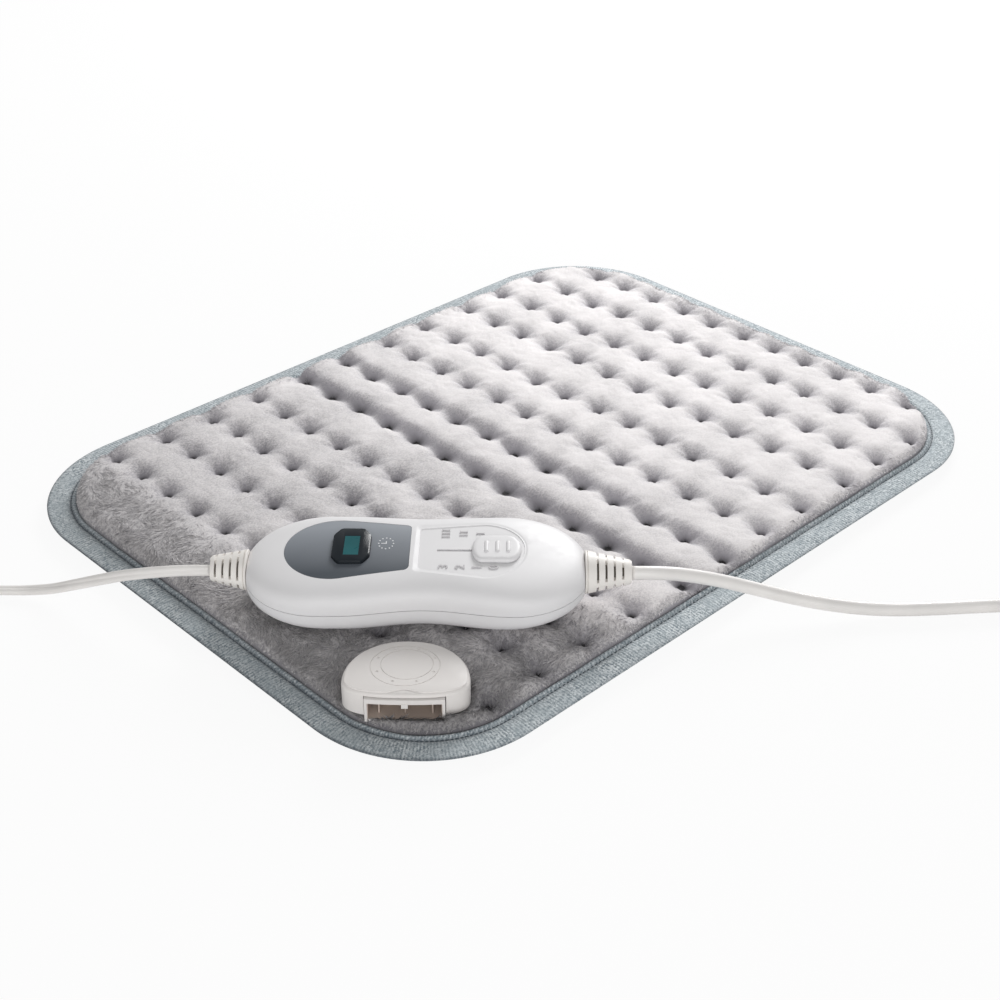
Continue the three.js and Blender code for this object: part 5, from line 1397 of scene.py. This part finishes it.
def lid_outline(inset=0.0):
    """The raised lid: the housing's outline, drawn in, with a cusp at the middle of its front."""
    points = []
    for x, y in socket_outline(lid.inset + inset):
        if y < socket.waist:
            cusp = lid.cusp * bell(abs(x), lid.cusp_width, 1.35)
            sides = lid.side_rise * min(abs(x) / lid.side, 1.0) ** 4
            y = max(y, lid.front + cusp + sides + inset)
        points.append((x, y))
    return points


def make_socket():
    """The housing over the receptacle: a soft top edge, a raised lid, and a dial's fine grooves."""
    edge = [(0, 2.4), (0.12, 1.7), (0.45, 1.1), (1.0, 0.68), (1.8, 0.5)]
    rings = [ring_at(socket_outline(), socket.bottom)]
    rings += [on_top(socket_outline(inset), drop) for inset, drop in edge]
    cover = lofted("socket_housing", rings)
    rings = [ring_at(lid_outline(), lid.low)]
    rings += [on_top(lid_outline(inset), drop) for inset, drop in ((0, 0.42), (0.18, 0.12), (0.7, 0))]
    joined(cover, lofted("tool", rings))
    cut(cover, lofted("tool", [
        ring_at(socket_outline(socket.wall), socket.bottom - 2),
        on_top(socket_outline(socket.wall), 2.6), on_top(socket_outline(socket.wall + 0.6), 2.0),
    ]))
    front = -socket.front - receptacle.proud
    mouth_top = receptacle.bottom + receptacle.height
    half = receptacle.half + 0.3
    behind = socket.wall - socket.front + 2
    cut(cover, block(-half, half, front - 2, behind, socket.bottom - 2, mouth_top + 0.3))
    for x, y, radius in ((-0.7, 2, 14), (0, 3, 10.5)):
        cut(cover, sloped_ring(x, y, radius, dial.line, dial.deep))
    first = math.pi / dial.dents
    round_trip = (first, first + 2 * math.pi, dial.dents)
    for x, y in arc(dial.x, dial.y, dial.radius, dial.radius, *round_trip)[:-1]:
        z = socket_top(y, dial.dent_deep)
        cut(cover, prism(circle(x, y, dial.dent, 12), z - 0.1, z + 1))
    settle(on_socket(cover), "socket_white", replaced=["socket_cover"])
    make_receptacle(front, mouth_top)
    base = nodes["socket_base"]
    plate = linked("socket_plate", base.data.copy())
    plate.matrix_world = base.matrix_world.copy()
    half, back = receptacle.half + 0.1, front + receptacle.depth + 0.1
    room = block(-half, half, front - 9, back, receptacle.bottom - 0.1, socket.height)
    cut(weld(plate), on_socket(room, None))
    settle(shaded(plate, 30), "socket_white", replaced=["socket_base"])


def sloped_ring(x, y, radius, width, depth):
    """A ring-shaped cutter that follows the housing's sloping top."""
    inner, outer = radius - width / 2, radius + width / 2
    profile = [(inner, -1.0), (inner, depth), (outer, depth), (outer, -1.0)]
    rings = [on_top(circle(x, y, r, 96), drop) for r, drop in profile]
    return lofted("tool", rings, looped=True)


def cut_contact_slots(piece, back):
    """Three slots through the back wall, where the contacts come in."""
    for i in (-1, 0, 1):
        x = i * contact.pitch
        cut(piece, block(
            x - contact.half, x + contact.half, back - receptacle.wall - 2, back + 2,
            contact.bottom, contact.top,
        ))


def make_receptacle(front, mouth_top):
    """The frame of the mouth with its key, and the taupe lining inside it with three posts."""
    half, wall, bow = receptacle.half, receptacle.wall, 0.7
    back = front + receptacle.depth
    floor, roof = receptacle.bottom + wall, mouth_top - receptacle.lip
    bowed = [(x, front - bow * (0.1 - (x / half) ** 2)) for x in np.linspace(-half, half, 25)]
    plan = [*bowed, (half, back), (-half, back)]
    shell = prism(plan, receptacle.bottom, mouth_top, "socket_frame")
    cut(shell, block(wall - half, half - wall, front - 3, back - wall, floor, roof))
    tongue_key = (-key.half, key.half, front - 0.3, front + key.length)
    joined(shell, block(*tongue_key, roof - key.drop, roof + wall / 2))
    cut_contact_slots(shell, back)
    settle(on_socket(shell), "socket_white", replaced=["socket_receptacle"])
    floor, roof, half = floor + 0.05, roof - 0.05, half - wall - 0.05
    inner, end = half - 0.25, back - wall
    lining = block(-half, half, front + 0.9, end - 0.05, floor, roof, "socket_insert")
    cut(
        lining,
        block(-inner, inner, front - 2, end - 0.6, floor + 0.25, roof - 0.25),
        block(
            -key.half - 0.3, key.half + 0.3, front - 2, front + key.length + 0.3,
            roof - key.drop - 0.2, roof + 1,
        ),
    )
    cut_contact_slots(lining, back)
    joined(lining, *(
        block(x - 0.3, x + 0.3, front + 4.4, end - 0.5, floor + 0.05, roof - 0.05)
        for x in (-10.4, 0, 10.8)
    ))
    settle(on_socket(lining), "taupe")


# Leads
def twin_section(cord, steps=9):
    """Two round cores side by side, with a groove between them."""
    core = cord.thick / 2 - 0.1
    apart = cord.width / 2 - core
    meet = math.acos(-apart / core)
    right = arc(apart, 0, core, core, -meet, meet, 2 * steps)[:-1]
    return right + [(-a, -b) for a, b in right]


def make_lead(name, route, cord, coil, section, first_roll=0.0):
    """A lead with its coil and the tail to the plug on its far end."""
    meet = coil.turn[0] - coil.side * (cord.width + 0.3)
    last = route[-1]
    line = smooth_route([*route, (meet, last[1], last[2])]) + coil_points(cord, coil)
    path = [lead_point(p) for p in line]
    run = path_runs(path)
    rolls = [first_roll * (1 - eased((along - 25) / 85)) for along in run]
    piece = lofted(f"{name}_cord", sweep(path, section, rolls))
    settle(piece, "cord_white", replaced=[f"{name}_lead_free", f"{name}_lead_coil"])


def make_leads():
    make_lead(
        "mains", MAINS_ROUTE, mains_cord, mains_coil, twin_section(mains_cord),
        math.radians(-75),
    )
    connector = ["connector_upper_shell", "connector_lower_shell", "connector_tongue"]
    connector += [f"connector_contact_{i}" for i in (1, 2, 3)] + ["pad_lead_tie"]
    section = circle(0, 0, pad_cord.width / 2, 20)
    make_lead("pad", PAD_ROUTE, pad_cord, pad_coil, section)


# Floor and light
def make_stage():
    """A floor that looks all but white to the camera, and still takes soft shadows."""
    size, below, glow_share = 9.0, -0.0002, 0.92
    sheet = bpy.data.meshes.new("floor")
    corners = [(-size, -size), (size, -size), (size, size), (-size, size)]
    sheet.from_pydata([(x, y, below) for x, y in corners], [], [(0, 1, 2, 3)])
    floor = linked("floor", sheet)
    look = Look("floor", colour(236, 236, 236), 0.9)
    glow = look.node("ShaderNodeEmission", {"Strength": 1.0}).outputs[0]
    ray = look.node("ShaderNodeLightPath", {}).outputs
    seen = look.math("MAXIMUM", ray["Is Camera Ray"], ray["Is Glossy Ray"])
    seen = look.math("MAXIMUM", seen, ray["Is Transmission Ray"])
    share = look.math("MULTIPLY", seen, glow_share)
    mixed = look.node("ShaderNodeMixShader", {0: share, 1: look.shader.outputs[0], 2: glow})
    feed(look.tree, look.tree.nodes["Material Output"].inputs["Surface"], mixed.outputs[0])
    sheet.materials.append(looks["floor"])


def make_world():
    """An even white room, which the camera sees as a plain background."""
    world = bpy.data.worlds.new("studio")
    bpy.context.scene.world = world
    world.use_nodes = True
    tree = world.node_tree
    room, shown = tree.nodes["Background"], tree.nodes.new("ShaderNodeBackground")
    feed(tree, room.inputs["Color"], (1.0, 1.0, 1.0, 1.0))
    feed(tree, room.inputs["Strength"], 0.43)
    ray = tree.nodes.new("ShaderNodeLightPath").outputs
    top = tree.nodes.new("ShaderNodeMath")
    top.operation = "MAXIMUM"
    feed(tree, top.inputs[0], ray["Is Camera Ray"])
    feed(tree, top.inputs[1], ray["Is Transmission Ray"])
    blend = tree.nodes.new("ShaderNodeMixShader")
    for socket_in, value in zip(blend.inputs, (top, room, shown)):
        feed(tree, socket_in, value.outputs[0])
    feed(tree, tree.nodes["World Output"].inputs["Surface"], blend.outputs[0])


def make_lamp(name, place, target, size, power):
    """A round soft lamp. Its place and size are in metres, its power in watts."""
    data = bpy.data.lights.new(name, "AREA")
    data.shape = "DISK"
    data.size = size
    data.energy = power
    lamp = linked(name, data)
    lamp.location = place
    lamp.rotation_mode = "QUATERNION"
    lamp.rotation_quaternion = (Vector(target) - Vector(place)).to_track_quat("-Z", "Y")


make_camera()
make_looks()
make_leads()
make_pad_top()
make_pile()
make_binding()
make_stitches()
make_pad_bottom()
make_top_shell()
make_bottom_shell()
make_panel()
make_lens()
make_knob()
make_numbers()
make_clock()
make_relief(mains_relief, "mains_relief", ["mains_strain_relief"])
make_relief(pad_relief, "pad_relief", ["pad_lead_strain_relief"])
make_socket()
make_stage()
make_world()
make_lamp("key", (1.05, 0.55, 0.62), (-0.05, -0.05, 0.0), 0.6, 16.5)
make_lamp("fill", (-1.0, -1.0, 0.36), (-0.1, -0.05, 0.0), 1.2, 8.5)
bpy.context.scene.view_settings.view_transform = "Standard"
